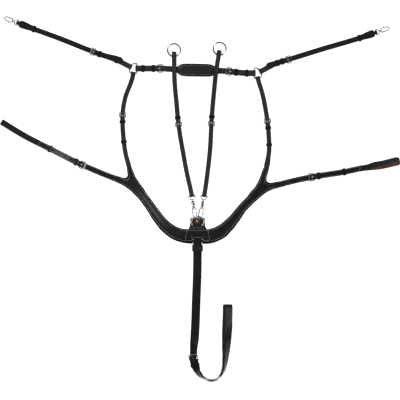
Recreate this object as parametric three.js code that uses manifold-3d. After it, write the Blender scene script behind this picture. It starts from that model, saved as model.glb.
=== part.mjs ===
// Five-point breastplate with a running-martingale fork, laid out flat on a table.
// Millimetres. +Z is up, +Y points to the withers, and the breast yoke's centre lies over the origin.
import * as THREE from "three";
import { mergeVertices } from "three/addons/utils/BufferGeometryUtils.js";
import Module from "manifold-3d";

const wasm = await Module();
wasm.setup();

// ---------- Driving dimensions ----------

const GAP = 0.3; // between pieces that touch
const LEATHER = 2; // one layer of strap leather
const DOUBLED = 2 * LEATHER; // a strap folded on itself and stitched
const WIRE = 1.3; // radius of buckle wire
const DEE_WIRE = 2; // radius of a D ring's wire
const RING_WIRE = 2.5; // radius of a fork ring's wire
const EYE_WIRE = 1.6; // radius of a snap eye's wire
const KEEPER_WALL = 1.4;
const WIRE_FACETS = 6;
const TONGUE = 1.2; // radius of a buckle tongue

const NARROW = 14; // shoulder and fork straps
const MEDIUM = 16; // saddle straps
const WIDE = 18; // side and neck straps
const GIRTH = 26; // girth strap

// Heights above a strap's own line, to the middle of the layer.
const FOLD = WIRE + GAP + LEATHER; // outside radius of a chape's fold round the heel bar
const LOW = 2; // a single layer on the table
const STACK = 4.2; // a chape, and the heel bar inside its fold
const OVER = STACK + DOUBLED / 2 + GAP + LEATHER / 2; // a billet that lies on a chape
const CREST = STACK + FOLD + GAP + LEATHER / 2; // a billet that crosses the fold
const EYELET = DEE_WIRE + 0.5; // inside radius of a strap's loop round a D ring
const HANG = EYELET + LEATHER + GAP; // middle of a D ring and of the loops round it

const YOKE_THICK = 9;
const YOKE_NOTCH = { half: 14.5, top: -7 }; // the slot that the girth strap passes through
const RIM = { y: -14, z: 6, radius: 3.3 }; // the yoke's rolled rim, where the girth strap hangs
const CENTRE_DEE = { bar: 30, barHeight: 6.3, middle: 42, radius: 18, tilt: 8 };

const FORK_RING = 19.3; // radius to the middle of the ring's wire
const FORK_EYELET = RING_WIRE + 1;
const FORK_HANG = FORK_EYELET + LEATHER + GAP;
const FORK_SAG = 0.65; // how far a round ring bends away inside a straight loop
const CROSSING = 15; // height of a fork strap over the neck strap

const FORK_LOOP = 9; // how far a fork strap's end loop runs on past the ring's wire
const FORK_SNAP = { eye: 16.5, neck: 22, reach: 49.5, leg: 7.2, wire: 1.7, half: 9.8, lift: 15 };
const GATHERED = 11; // width of a saddle strap where it is gathered into the snap's eye
const SADDLE_SNAP = { eye: 14, neck: 0, reach: 22, leg: 5.5, wire: 1.6, half: 8.2, lift: 25 };

// ---------- Solids ----------

const vector = (x, y, z = 0) => new THREE.Vector3(x, y, z);

// A three.js geometry as a manifold-3d solid.
function solid(geometry) {
  const bare = new THREE.BufferGeometry();
  bare.setAttribute("position", geometry.getAttribute("position"));
  bare.setIndex(geometry.index);
  const merged = mergeVertices(bare, 1e-4);
  const vertProperties = merged.attributes.position.array;
  const triVerts = new Uint32Array(merged.index.array);
  return new wasm.Manifold(new wasm.Mesh({ numProp: 3, vertProperties, triVerts }));
}

const join = (solids) => wasm.Manifold.union(solids);

// A manifold-3d solid as a three.js geometry with flat faces.
function geometryOf(made) {
  const mesh = made.getMesh();
  const geometry = new THREE.BufferGeometry();
  geometry.setAttribute("position", new THREE.BufferAttribute(mesh.vertProperties, 3));
  geometry.setIndex(new THREE.BufferAttribute(mesh.triVerts, 1));
  const flat = geometry.toNonIndexed();
  flat.computeVertexNormals();
  return flat;
}

// ---------- Frames and strap lines ----------

// A frame has x along the strap, y up out of it and z sideways, so x × y = z.
function frameAt(point, tangent, roll = 0) {
  const up = vector(0, 0, 1).addScaledVector(tangent, -tangent.z).normalize();
  up.applyAxisAngle(tangent, THREE.MathUtils.degToRad(roll));
  const side = tangent.clone().cross(up);
  return { point, tangent, up, side };
}

// Moves a geometry from a frame's own axes into the object's.
function place(geometry, frame, along = 0, height = 0) {
  const matrix = new THREE.Matrix4().makeBasis(frame.tangent, frame.up, frame.side);
  const origin = frame.point.clone();
  origin.addScaledVector(frame.tangent, along);
  origin.addScaledVector(frame.up, height);
  matrix.setPosition(origin);
  return geometry.clone().applyMatrix4(matrix);
}

// A strap's line: a smooth curve through [x, y], [x, y, z] or [x, y, z, roll in degrees].
function strapLine(points) {
  const places = points.map(([x, y, z = 0]) => vector(x, y, z));
  const curve = new THREE.CatmullRomCurve3(places, false, "centripetal");
  const perSpan = 40;
  const lengths = curve.getLengths((points.length - 1) * perSpan);
  curve.arcLengthDivisions = lengths.length - 1;
  const length = lengths.at(-1);
  const knots = points.map(([, , , roll = 0], i) => [lengths[i * perSpan], roll]);

  function frame(s) {
    const inside = THREE.MathUtils.clamp(s, 0, length);
    const point = curve.getPointAt(inside / length);
    const tangent = curve.getTangentAt(inside / length).normalize();
    point.addScaledVector(tangent, s - inside);
    return frameAt(point, tangent, blend(knots, inside)[0]);
  }

  // Distance along the line of the point nearest to [x, y].
  function nearest([x, y]) {
    const target = vector(x, y);
    let best = 0;
    let least = Infinity;
    for (let s = 0; s <= length; s += 0.5) {
      const away = frame(s).point.setZ(0).distanceTo(target);
      if (away < least) {
        least = away;
        best = s;
      }
    }
    return best;
  }

  return { length, frame, nearest, knots: knots.map(([s]) => s) };
}

// Values between keys [s, value, value, ...], eased from one key to the next.
function blend(keys, s) {
  let i = 0;
  while (i < keys.length - 2 && s > keys[i + 1][0]) i++;
  const [from, to] = [keys[i], keys[i + 1]];
  const t = THREE.MathUtils.smoothstep(s, from[0], to[0]);
  return from.slice(1).map((value, k) => THREE.MathUtils.lerp(value, to[k + 1], t));
}

// Where a strap is divided along its length: finer where its height or width changes.
function stationsOf(keys, tip, step, fine) {
  const stations = [keys[0][0]];
  for (let i = 1; i < keys.length; i++) {
    const [from, to] = [keys[i - 1], keys[i]];
    const level = from.slice(1).every((value, k) => Math.abs(value - to[k + 1]) < 1e-6);
    const pieces = Math.max(level ? 1 : fine, Math.ceil((to[0] - from[0]) / step));
    for (let k = 1; k <= pieces; k++) stations.push(from[0] + ((to[0] - from[0]) * k) / pieces);
  }
  const end = stations.at(-1);
  const kept = stations.filter((s) => s < end - tip - 1);
  const rounded = tip ? [1, 0.6, 0.3, 0.1, 0].map((share) => end - tip * share) : [end];
  return [...kept, ...rounded];
}

// A flat strap along a line. keys are [s, height of its middle, thickness, width].
function ribbon(line, keys, { tip = 0, step = 30, fine = 3 } = {}) {
  const stations = stationsOf(keys, tip, step, fine);
  const end = stations.at(-1);
  const last = stations.length - 1;
  const geometry = new THREE.BoxGeometry(1, 1, 1, 1, last, 1);
  const position = geometry.getAttribute("position");
  for (let i = 0; i < position.count; i++) {
    const s = stations[Math.round((position.getY(i) + 0.5) * last)];
    const [height, thickness, width] = blend(keys, s);
    const left = Math.min(1, (end - s) / (tip || 1));
    const narrowing = tip ? 0.35 + 0.65 * Math.sqrt(1 - (1 - left) ** 2) : 1;
    const { point, up, side } = line.frame(s);
    point.addScaledVector(side, position.getX(i) * width * narrowing);
    point.addScaledVector(up, height + position.getZ(i) * thickness);
    position.setXYZ(i, point.x, point.y, point.z);
  }
  return solid(geometry);
}

// A leather loop or a metal eye: a short tube whose hole runs sideways through the frame.
function loop(frame, height, inner, outer, width, facets = 12) {
  const shape = new THREE.Shape().absarc(0, 0, outer, 0, 2 * Math.PI);
  shape.holes.push(new THREE.Path().absarc(0, 0, inner, 0, 2 * Math.PI, true));
  const options = { depth: width, bevelEnabled: false, curveSegments: facets / 2 };
  const tube = new THREE.ExtrudeGeometry(shape, options).translate(0, 0, -width / 2);
  return solid(place(tube, frame, 0, height));
}

// The fold at the far end of a strap loop: half a tube, open towards the strap.
function endFold(frame, height, inner, width) {
  const outer = inner + LEATHER + 0.2;
  const quarter = Math.PI / 2;
  const shape = new THREE.Shape();
  shape.absarc(0, 0, outer, -quarter, quarter);
  shape.lineTo(-1, outer);
  shape.lineTo(-1, inner);
  shape.absarc(0, 0, inner, quarter, -quarter, true);
  shape.lineTo(-1, -inner);
  shape.lineTo(-1, -outer);
  const options = { depth: width, bevelEnabled: false, curveSegments: 8 };
  const tube = new THREE.ExtrudeGeometry(shape, options).translate(0, 0, -width / 2);
  return solid(place(tube, frame, 0, height));
}

// A strap's end loop that runs on past the ring inside it: two folds and the layers between them.
function longLoop(line, s, height, inner, length, width) {
  const start = line.frame(s);
  const back = frameAt(start.point, start.tangent.clone().negate());
  const outer = inner + LEATHER;
  const aside = [-width / 2, width / 2];
  return [
    endFold(back, height, inner, width),
    endFold(line.frame(s + length), height, inner, width),
    block(start, [-0.5, length + 0.5], [height + inner, height + outer], aside),
    block(start, [-0.5, length + 0.5], [height - outer, height - inner], aside),
  ];
}

// A box in a frame, given its limits along, up and sideways.
function block(frame, [x0, x1], [y0, y1], [z0, z1]) {
  const box = new THREE.BoxGeometry(x1 - x0, y1 - y0, z1 - z0);
  box.translate((x0 + x1) / 2, (y0 + y1) / 2, (z0 + z1) / 2);
  return solid(place(box, frame));
}

// A closed wire through points that lie in a plane, in order.
function closedWire(points, normal, radius, facets = WIRE_FACETS) {
  const count = points.length;
  const geometry = new THREE.TorusGeometry(1, 1, facets, count);
  const position = geometry.getAttribute("position");
  for (let i = 0; i < position.count; i++) {
    const at = (i % (count + 1)) % count;
    const turn = (Math.floor(i / (count + 1)) / facets) * 2 * Math.PI;
    const ahead = points[(at + 1) % count];
    const behind = points[(at + count - 1) % count];
    const outward = ahead.clone().sub(behind).normalize().cross(normal);
    const point = points[at].clone().addScaledVector(outward, radius * Math.cos(turn));
    point.addScaledVector(normal, radius * Math.sin(turn));
    position.setXYZ(i, point.x, point.y, point.z);
  }
  return geometry;
}

// An open wire through points that lie in a plane, with flat ends.
function openWire(points, normal, radius, { facets = WIRE_FACETS, steps = 12, curved = true } = {}) {
  const curve = curved
    ? new THREE.CatmullRomCurve3(points, false, "centripetal")
    : new THREE.LineCurve3(points[0], points.at(-1));
  const geometry = new THREE.CylinderGeometry(1, 1, 1, facets, steps);
  const position = geometry.getAttribute("position");
  for (let i = 0; i < position.count; i++) {
    const t = position.getY(i) + 0.5;
    const point = curve.getPointAt(t);
    const side = curve.getTangentAt(t).cross(normal);
    point.addScaledVector(side, position.getX(i) * radius);
    point.addScaledVector(normal, position.getZ(i) * radius);
    position.setXYZ(i, point.x, point.y, point.z);
  }
  return geometry;
}

// Points round a polygon whose corners are rounded by cutting off the given length.
function roundedCorners(corners, cut) {
  return corners.flatMap((corner, i) => {
    const before = corners[(i + corners.length - 1) % corners.length];
    const after = corners[(i + 1) % corners.length];
    const start = corner.clone().add(before.clone().sub(corner).setLength(cut));
    const end = corner.clone().add(after.clone().sub(corner).setLength(cut));
    const middle = start.clone().add(end).multiplyScalar(0.25).addScaledVector(corner, 0.5);
    return [start, middle, end];
  });
}

// ---------- Nodes ----------

const FINISHES = {
  leather: new THREE.MeshStandardMaterial({ color: 0x17161a, roughness: 0.5, metalness: 0 }),
  elastic: new THREE.MeshStandardMaterial({ color: 0x141416, roughness: 0.85, metalness: 0 }),
  steel: new THREE.MeshStandardMaterial({ color: 0xb9bcc0, roughness: 0.25, metalness: 1 }),
};
const martingale = new THREE.Group();

// Adds one node. pivot is the axis that it turns on: a point and a direction.
function node(name, made, finish, pivot) {
  const mesh = new THREE.Mesh(geometryOf(made), FINISHES[finish]);
  mesh.name = name;
  if (pivot) mesh.userData = { origin: pivot.point.toArray(), axis: pivot.axis.toArray() };
  martingale.add(mesh);
}

// A frame's sideways axis at a height above its line, turning so that what is behind it lifts.
function liftAxis(frame, height, sign) {
  return {
    point: frame.point.clone().addScaledVector(frame.up, height),
    axis: frame.side.clone().multiplyScalar(sign),
  };
}

// ---------- Buckle joints ----------
// A strap line runs from the billet's fixed end to the chape's. at is the heel bar's place on it.

// Heights of a billet that passes the front bar, crosses the chape's fold and ends at a tip.
function billetKeys(at, tip, width) {
  return [
    [at - 26, LOW, LEATHER, width],
    [at - 3, CREST, LEATHER, width],
    [at + 4, CREST, LEATHER, width],
    [at + 11, OVER, LEATHER, width],
    [tip, OVER, LEATHER, width],
  ];
}

// The hole that the tongue passes through.
function tongueHole(line, at) {
  return block(line.frame(at), [-9, -1.2], [STACK, CREST + 6], [-1.9, 1.9]);
}

// A chape from its fold round the heel bar to the end of its keys, with one stitched keeper.
function chape(line, at, width, keys, keeperSpan = [12, 23], step = 30) {
  const frame = line.frame(at);
  const fold = loop(frame, STACK, WIRE + GAP, FOLD, width);
  const strap = ribbon(line, [[at + WIRE + GAP + 0.8, STACK, DOUBLED, width], ...keys], { step });
  const slot = block(frame, [-5, 5], [-1, STACK + FOLD + 1], [-1.8, 1.8]);
  return [join([fold, strap]).subtract(slot), keeper(line, at, keeperSpan, width)];
}

// A keeper stitched under a chape, with room for the billet.
function keeper(line, at, [from, to], width) {
  const frame = line.frame(at + (from + to) / 2);
  const half = (to - from) / 2;
  const inside = width / 2 + 0.7;
  const outside = inside + KEEPER_WALL;
  const bottom = STACK - DOUBLED / 2 + 0.1;
  const top = OVER + LEATHER / 2 + 0.4;
  const whole = block(frame, [-half, half], [bottom - KEEPER_WALL, top + KEEPER_WALL], [-outside, outside]);
  return whole.subtract(block(frame, [-half - 1, half + 1], [bottom, top], [-inside, inside]));
}

// The frame and the tongue of a buckle.
function buckle(name, line, at, width, length) {
  const frame = line.frame(at);
  const billet = blend(billetKeys(at, at + 40, width), at - length)[0];
  const rise = billet + LEATHER / 2 + 2 * GAP + WIRE - STACK;
  const half = width / 2 + 1.2 + WIRE;
  const corners = [
    vector(0, 0, half),
    vector(0, 0, -half),
    vector(-length, rise, -half),
    vector(-length, rise, half),
  ];
  const normal = vector(rise, length, 0).normalize();
  const wire = closedWire(roundedCorners(corners, 2.6), normal, WIRE);
  node(`${name}_buckle`, solid(place(wire, frame, 0, STACK)), "steel");

  const rest = rise + WIRE + GAP + TONGUE;
  const shank = [
    vector(-2.2, 1, 0),
    vector(-4.2, 3.9, 0),
    vector(-6.2, rest - 0.9, 0),
    vector(-9, rest + 0.1, 0),
    vector(-length - 2, rest, 0),
  ];
  const bar = openWire(shank, vector(0, 0, 1), TONGUE, { steps: 7 });
  const eye = loop(frame, STACK, WIRE + GAP, WIRE + GAP + 1.3, 2 * TONGUE, 8);
  const tongue = join([eye, solid(place(bar, frame, 0, STACK))]);
  node(`${name}_tongue`, tongue, "steel", liftAxis(frame, STACK, -1));
}

// ---------- Snap hooks ----------

// A swivel eye, a hook and its sprung trigger. aim points from the eye's bar to the hook's end.
function snap(name, bar, aim, size, hookRoll) {
  const { eye, neck, reach, leg, wire, half, lift } = size;
  const flat = frameAt(bar, aim);
  const rolled = frameAt(bar, aim, hookRoll);
  const plate = eye + 2.6; // thickness of the hook's back plate, measured on from the eye
  const flatUp = vector(0, 1, 0);
  const at = (along, aside) => vector(along, 0, aside);

  const shoulder = 0.42 * eye; // where the sides of the eye start to close in
  const corners = [
    at(0, half),
    at(0, -half),
    at(shoulder, -half),
    at(eye - 3.6, -2.6),
    at(eye - 3.6, 2.6),
    at(shoulder, half),
  ];
  const eyeWire = closedWire(roundedCorners(corners, 2.2), flatUp, EYE_WIRE);
  const post = [at(eye - 3.6, 0), at(plate + 0.8, 0)];
  const head = [at(plate + 0.4, 0), at(plate + 2, 0)];
  const straight = { curved: false, steps: 1 };
  const eyeParts = [
    eyeWire,
    openWire(post, flatUp, 1.5, straight),
    openWire(head, flatUp, 2.3, straight),
  ];
  const swivel = { point: bar.clone().addScaledVector(aim, eye), axis: aim.clone() };
  node(`${name}_eye`, join(eyeParts.map((g) => solid(place(g, flat)))), "steel", {
    point: bar.clone(),
    axis: flat.side.clone(),
  });

  const end = eye + reach;
  const bow = [0, 1, 2, 3, 4].map((k) => {
    const turn = Math.PI / 2 - (k * Math.PI) / 4;
    return at(end + leg * Math.cos(turn), leg * Math.sin(turn));
  });
  const spread = eye + neck; // where the two legs part
  const inset = neck ? 4.3 : 3.3; // from the middle to each leg, where it leaves the plate
  const stem = neck ? [at(spread - 1, inset)] : [];
  const stubStem = neck ? [at(spread - 1, -inset)] : [];
  const back = [at(eye + 1.3, inset), ...stem, at(spread + 4.5, leg - 0.2), at(spread + 9, leg)];
  const hookPath = [...back, ...bow, at(end - 6, -leg)];
  const stubEnd = spread + 8;
  const stub = [at(eye + 1.3, -inset), ...stubStem, at(spread + 4.5, -leg + 0.2), at(stubEnd, -leg)];
  const plateWire = openWire([at(eye, 0), at(plate, 0)], flatUp, 4.2, straight);
  const bore = openWire([at(eye - 1, 0), at(plate + 1, 0)], flatUp, 1.8, straight);
  const hookParts = [
    plateWire,
    openWire(hookPath, flatUp, wire, { steps: 15 + neck / 2 }),
    openWire(stub, flatUp, wire, { steps: 4 + neck / 4 }),
  ];
  const hook = join(hookParts.map((g) => solid(place(g, rolled))));
  node(`${name}_hook`, hook.subtract(solid(place(bore, rolled))), "steel", swivel);

  const hinge = stubEnd + 1.2;
  const gate = [at(hinge - 0.6, -leg), at(end - 6.5, -leg)];
  const knobAlong = THREE.MathUtils.lerp(hinge, end - 6.5, 0.6);
  const knob = [at(knobAlong, -leg - 0.5), at(knobAlong, -leg - 4.5)];
  const triggerParts = [
    openWire(gate, flatUp, wire - 0.1, straight),
    openWire(knob, flatUp, 1.7, straight),
  ];
  const trigger = join(triggerParts.map((g) => solid(place(g, rolled))));
  const pivot = rolled.point.clone().addScaledVector(aim, hinge).addScaledVector(rolled.side, -leg);
  node(`${name}_trigger`, trigger, "steel", { point: pivot, axis: rolled.up.clone().negate() });
  martingale.getObjectByName(`${name}_trigger`).userData.lift = lift;
}

// ---------- Lines of the straps, as they lie ----------

const SIDES = {
  left: {
    sign: -1,
    dee: [-182, 503],
    shoulder: [[-192.5, 489], [-195.5, 474], [-202, 455], [-216, 418], [-224, 372], [-223, 307], [-216, 250], [-206, 211]],
    shoulderHeel: [-224, 357],
    shoulderTip: 83,
    side: [[-236, 170], [-254, 176], [-292, 191], [-352, 217], [-442, 262], [-518, 301], [-584, 341]],
    sideHeel: [-352, 217],
    sideTip: 142,
    sideGap: 6,
    neck: [[-50, 499], [-104, 503], [-134, 503], [-182, 503]],
    neckHeel: [-118.5, 503],
    neckTip: 38,
    saddle: [[-539, 640], [-500, 625], [-410, 592], [-307, 551], [-242, 528], [-201, 508]],
    saddleHeel: [-307, 551],
    saddleTip: 86,
    fork: [[-17, 122], [-22, 146], [-32, 190], [-42, 244], [-56, 328], [-63, 400], [-68, 454], [-69.5, 499], [-70, 539.3]],
    forkHeel: [-57, 341],
    forkTip: 86,
    hookWire: [-7.3, 58.4],
    hookRoll: 42,
  },
  right: {
    sign: 1,
    dee: [170, 489],
    shoulder: [[180.5, 475], [184.5, 460], [195, 426], [208, 357], [214, 295], [214, 250], [206, 211]],
    shoulderHeel: [210, 339],
    shoulderTip: 80,
    side: [[236, 153], [252, 157], [296, 168], [349, 178.5], [440, 193], [497, 204.5], [545, 207.5, 5, -30], [598, 217, 8, -45]],
    sideHeel: [349, 178.5],
    sideTip: 143,
    sideGap: 16,
    neck: [[44, 497], [87, 495], [122, 491], [150, 489], [170, 489]],
    neckHeel: [102, 495],
    neckTip: 38,
    saddle: [[535, 611], [482, 593], [380, 563], [267, 528], [238, 519], [189, 494]],
    saddleHeel: [267, 528],
    saddleTip: 62,
    fork: [[20, 122], [24, 146], [30, 190], [38, 265], [42, 344], [45, 385], [50, 439], [54.5, 484], [63.5, 543.8]],
    forkHeel: [42, 344],
    forkTip: 86,
    hookWire: [7.8, 58.2],
    hookRoll: 42,
  },
};

// The breast yoke's centre lines as [x, y, width, thickness].
const YOKE_ARCH = [
  [-216, 252, 12, 4],
  [-206, 211, 15, 5],
  [-199, 185, 20, 7],
  [-186, 151, 29, YOKE_THICK],
  [-147, 97, 30, YOKE_THICK],
  [-114, 50, 34, YOKE_THICK],
  [-94, 28, 37, YOKE_THICK],
  [-62, 7, 40, YOKE_THICK],
  [-30, 0, 43, YOKE_THICK],
  [0, 0, 44, YOKE_THICK],
  [36, 0, 44, YOKE_THICK],
  [68, 12, 42, YOKE_THICK],
  [90, 30, 37, YOKE_THICK],
  [110, 52, 32, YOKE_THICK],
  [136, 86, 28, YOKE_THICK],
  [163, 114, 28, YOKE_THICK],
  [186, 143, 27, YOKE_THICK],
  [200, 185, 19, 7],
  [210, 217, 15, 5],
  [214, 252, 12, 4],
];
const YOKE_BRANCHES = [
  [[-176, 136, 22, YOKE_THICK], [-205, 157, 28, YOKE_THICK], [-230, 167, 21, 4], [-256, 176.5, 18, 4]],
  [[172, 124, 20, YOKE_THICK], [205, 145, 26, YOKE_THICK], [230, 152, 20, 4], [256, 157.5, 18, 4]],
];

const GIRTH_LINE = strapLine([
  [0, RIM.y],
  [0, -44],
  [-1, -119],
  [-4, -197],
  [-6, -258],
  [-8, -300, 2, 5],
  [-10.5, -343, 10.8, 35],
  [-9, -362, 11, 35],
  [-1.5, -393, 11.5, 35],
  [8, -409, 14, 60],
  [22, -420, 15.5, 82],
  [39, -427, 15.5, 90],
  [55, -424, 15.5, 88],
  [68, -411, 15, 80],
  [75.5, -391, 14.5, 72],
  [79, -362, 13.5, 62],
  [81, -326, 11.5, 48],
  [84, -281, 8.5, 31],
  [87.5, -242, 4.2, 15],
  [88, -212, 4.2, 15],
]);
const GIRTH_HEEL = [-7, -371];
const GIRTH_TIP = 29;

// ---------- Breast yoke, its shield and its ring ----------

// A padded strip whose width and thickness change from point to point.
function paddedStrip(points) {
  const line = strapLine(points.map(([x, y]) => [x, y]));
  const keys = points.map(([, , width, thick], i) => [line.knots[i], thick / 2, thick, width]);
  return ribbon(line, keys, { step: 40, fine: 2 });
}

const straightOn = frameAt(vector(0, 0), vector(1, 0)); // x across the horse, y up, z towards -Y
const notch = block(
  straightOn,
  [-YOKE_NOTCH.half, YOKE_NOTCH.half],
  [-1, YOKE_THICK + 6],
  [-YOKE_NOTCH.top, 30],
);

function makeYoke(chapes) {
  const strips = join([YOKE_ARCH, ...YOKE_BRANCHES].map(paddedStrip)).subtract(notch);
  const ends = [-YOKE_NOTCH.half - 2, YOKE_NOTCH.half + 2].map((x) => vector(x, RIM.y, RIM.z));
  const rim = openWire(ends, vector(0, 0, 1), RIM.radius, { curved: false, steps: 1 });
  node("breast_yoke", join([strips, solid(rim), ...chapes]), "leather");
}

function makeShield() {
  const bottom = YOKE_THICK + GAP;
  const outline = new THREE.Shape([
    new THREE.Vector2(-37, -13),
    new THREE.Vector2(37, -13),
    new THREE.Vector2(30, 17),
    new THREE.Vector2(16, 20),
    new THREE.Vector2(13, CENTRE_DEE.bar),
    new THREE.Vector2(-13, CENTRE_DEE.bar),
    new THREE.Vector2(-16, 20),
    new THREE.Vector2(-30, 17),
  ]);
  const plate = new THREE.ExtrudeGeometry(outline, { depth: LEATHER, bevelEnabled: false });
  plate.translate(0, 0, bottom);

  const tongue = new THREE.Shape();
  tongue.moveTo(-20, CENTRE_DEE.bar - 4);
  tongue.lineTo(20, CENTRE_DEE.bar - 4);
  tongue.lineTo(19, 42);
  tongue.absarc(9, 42, 10, 0, Math.PI / 2);
  tongue.absarc(-9, 42, 10, Math.PI / 2, Math.PI);
  const backing = new THREE.ExtrudeGeometry(tongue, { depth: LEATHER, bevelEnabled: false, curveSegments: 4 });
  backing.translate(0, 0, 1);

  const bar = frameAt(vector(0, CENTRE_DEE.bar), vector(0, 1));
  const wrap = loop(bar, CENTRE_DEE.barHeight, EYELET, EYELET + LEATHER + 0.5, 24);
  node("centre_shield", join([solid(plate).subtract(notch), solid(backing), wrap]), "leather");
}

function makeCentreDee() {
  const { bar, barHeight, middle, radius, tilt } = CENTRE_DEE;
  const drop = Math.asin((middle - bar) / radius);
  const arcSteps = 16;
  const points = [];
  for (let k = 0; k <= arcSteps; k++) {
    const turn = THREE.MathUtils.lerp(-drop, Math.PI + drop, k / arcSteps);
    points.push(vector(radius * Math.cos(turn), middle - bar + radius * Math.sin(turn)));
  }
  const wire = closedWire(points, vector(0, 0, 1), DEE_WIRE);
  wire.rotateX(THREE.MathUtils.degToRad(tilt)).translate(0, bar, barHeight);
  node("centre_dee", solid(wire), "steel", { point: vector(0, bar, barHeight), axis: vector(1, 0, 0) });
}

// ---------- Girth strap and its loop ----------

// The two layers of a strap's loop and the fold that joins them, from s to the line's end.
function strapLoop(line, from, opening, width, closeFor = 0, step = 20) {
  const spread = 26;
  const middle = STACK + GAP + opening / 2 - 2;
  const layer = (sign) => {
    const together = STACK + 0.85 * sign;
    const near = STACK + sign * (LEATHER / 2 + 1.1);
    const apart = middle + (sign * (opening + LEATHER)) / 2;
    const close = [
      [from + 12, near, LEATHER, width],
      [from + closeFor, near, LEATHER, width],
    ];
    return ribbon(
      line,
      [
        [from - 3, together, LEATHER, width - 0.6],
        [from, together, LEATHER, width - 0.6],
        ...(closeFor ? close : []),
        [closeFor ? line.length - 30 : from + spread, apart, LEATHER, width],
        [line.length - 0.6, apart, LEATHER, width],
      ],
      { step },
    );
  };
  const fold = endFold(line.frame(line.length), middle, opening / 2 - 0.1, width + 0.4);
  return [layer(-1), layer(1), fold];
}

function makeGirth() {
  const line = GIRTH_LINE;
  const at = line.nearest(GIRTH_HEEL);
  const hang = loop(line.frame(0), RIM.z, RIM.radius + 0.4, RIM.radius + 0.4 + LEATHER, GIRTH);
  const keys = [
    [RIM.radius + 1.2, RIM.z, DOUBLED, GIRTH],
    [30, STACK, DOUBLED, GIRTH],
    [38, LOW, LEATHER, GIRTH],
    ...billetKeys(at, at + GIRTH_TIP, GIRTH),
  ];
  const strap = ribbon(line, keys, { tip: 14, step: 9 }).subtract(tongueHole(line, at));
  node("girth_strap", join([hang, strap]), "leather", {
    point: vector(0, RIM.y, RIM.z),
    axis: vector(-1, 0, 0),
  });
  buckle("girth", line, at, GIRTH, 17);

  const split = at + GIRTH_TIP + 4;
  const solids = chape(line, at, GIRTH, [[split, STACK, DOUBLED, GIRTH]], [12, 23], 9);
  node("girth_loop", join([...solids, ...strapLoop(line, split, 14, GIRTH, 70, 10)]), "leather");
}

// ---------- One side's straps ----------

// A D ring with a straight bar for the neck strap and an edge for each of the other straps.
function shoulderDee(name, [x, y], sign) {
  const outward = [
    [0, 16],
    [0, -16],
    [21, -12],
    [23.5, -3.5],
    [14.5, 13.5],
  ];
  const corners = outward.map(([out, along]) => vector(x + sign * out, y + along, HANG));
  const wire = closedWire(roundedCorners(corners, 1.6), vector(0, 0, 1), DEE_WIRE);
  node(name, solid(wire), "steel");
}

// The doubled end of a strap, folded round a ring at the start of its line.
function startFold(line, inner, width) {
  return loop(line.frame(0), inner + LEATHER + GAP, inner, inner + LEATHER, width);
}

function doubledStart(inner, width, gathered = width) {
  return [
    [inner + 0.8, inner + LEATHER + GAP, DOUBLED, gathered],
    [20, 3, DOUBLED, width],
    [28, LOW, LEATHER, width],
  ];
}

function makeShoulder(name, side) {
  const line = strapLine(side.shoulder);
  const at = line.nearest(side.shoulderHeel);
  const keys = [...doubledStart(EYELET, NARROW), ...billetKeys(at, at + side.shoulderTip, NARROW)];
  const strap = ribbon(line, keys, { tip: 10 }).subtract(tongueHole(line, at));
  node(`${name}_shoulder_strap`, join([startFold(line, EYELET, NARROW), strap]), "leather");
  buckle(`${name}_shoulder`, line, at, NARROW, 13);
  return chape(line, at, NARROW, [[line.length, STACK, DOUBLED, NARROW]]);
}

function makeSide(name, side) {
  const line = strapLine(side.side);
  const at = line.nearest(side.sideHeel);
  const yokeTip = 4 + GAP + LEATHER / 2;
  const keys = [
    [0, yokeTip, LEATHER, WIDE],
    [26, yokeTip, LEATHER, WIDE],
    [44, LOW, LEATHER, WIDE],
    ...billetKeys(at, at + side.sideTip, WIDE),
  ];
  const billet = ribbon(line, keys, { tip: 12 }).subtract(tongueHole(line, at));
  node(`${name}_side_billet`, billet, "leather");
  buckle(`${name}_side`, line, at, WIDE, 15);
  const split = Math.max(at + side.sideTip + 6, line.length - 100);
  const solids = chape(line, at, WIDE, [[split, STACK, DOUBLED, WIDE]]);
  node(`${name}_side_loop`, join([...solids, ...strapLoop(line, split, side.sideGap, WIDE)]), "elastic");
}

// Returns the billet, which is stitched into the wither pad.
function makeNeck(name, side) {
  const line = strapLine(side.neck);
  const at = line.nearest(side.neckHeel);
  const end = line.length;
  const solids = chape(line, at, WIDE, [
    [end - 24, STACK, DOUBLED, WIDE],
    [end - EYELET - 0.8, HANG, DOUBLED, WIDE],
  ]);
  const fold = loop(line.frame(end), HANG, EYELET, EYELET + LEATHER, WIDE);
  node(`${name}_neck_strap`, join([...solids, fold]), "leather");
  buckle(`${name}_neck`, line, at, WIDE, 15);
  const keys = [[0, LOW, LEATHER, WIDE], ...billetKeys(at, at + side.neckTip, WIDE)];
  return ribbon(line, keys, { tip: 12 }).subtract(tongueHole(line, at));
}

function makeWitherPad(billets) {
  const half = 39;
  const [left, right] = [-64, 58];
  const outline = new THREE.Shape();
  outline.moveTo(left, -9.5);
  outline.quadraticCurveTo(left + 8, -half / 2, left + 22, -half / 2);
  outline.lineTo(right - 22, -half / 2);
  outline.quadraticCurveTo(right - 8, -half / 2, right, -9.5);
  outline.lineTo(right, 9.5);
  outline.quadraticCurveTo(right - 8, half / 2, right - 22, half / 2);
  outline.lineTo(left + 22, half / 2);
  outline.quadraticCurveTo(left + 8, half / 2, left, 9.5);
  const bevel = { depth: 5, bevelEnabled: true, bevelSize: 2, bevelThickness: 2.4, bevelOffset: -2, bevelSegments: 1 };
  const pad = new THREE.ExtrudeGeometry(outline, { ...bevel, curveSegments: 4 });
  pad.rotateZ(THREE.MathUtils.degToRad(-1)).translate(0, 498, 2.8);
  node("wither_pad", join([solid(pad), ...billets]), "leather");
}

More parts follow.
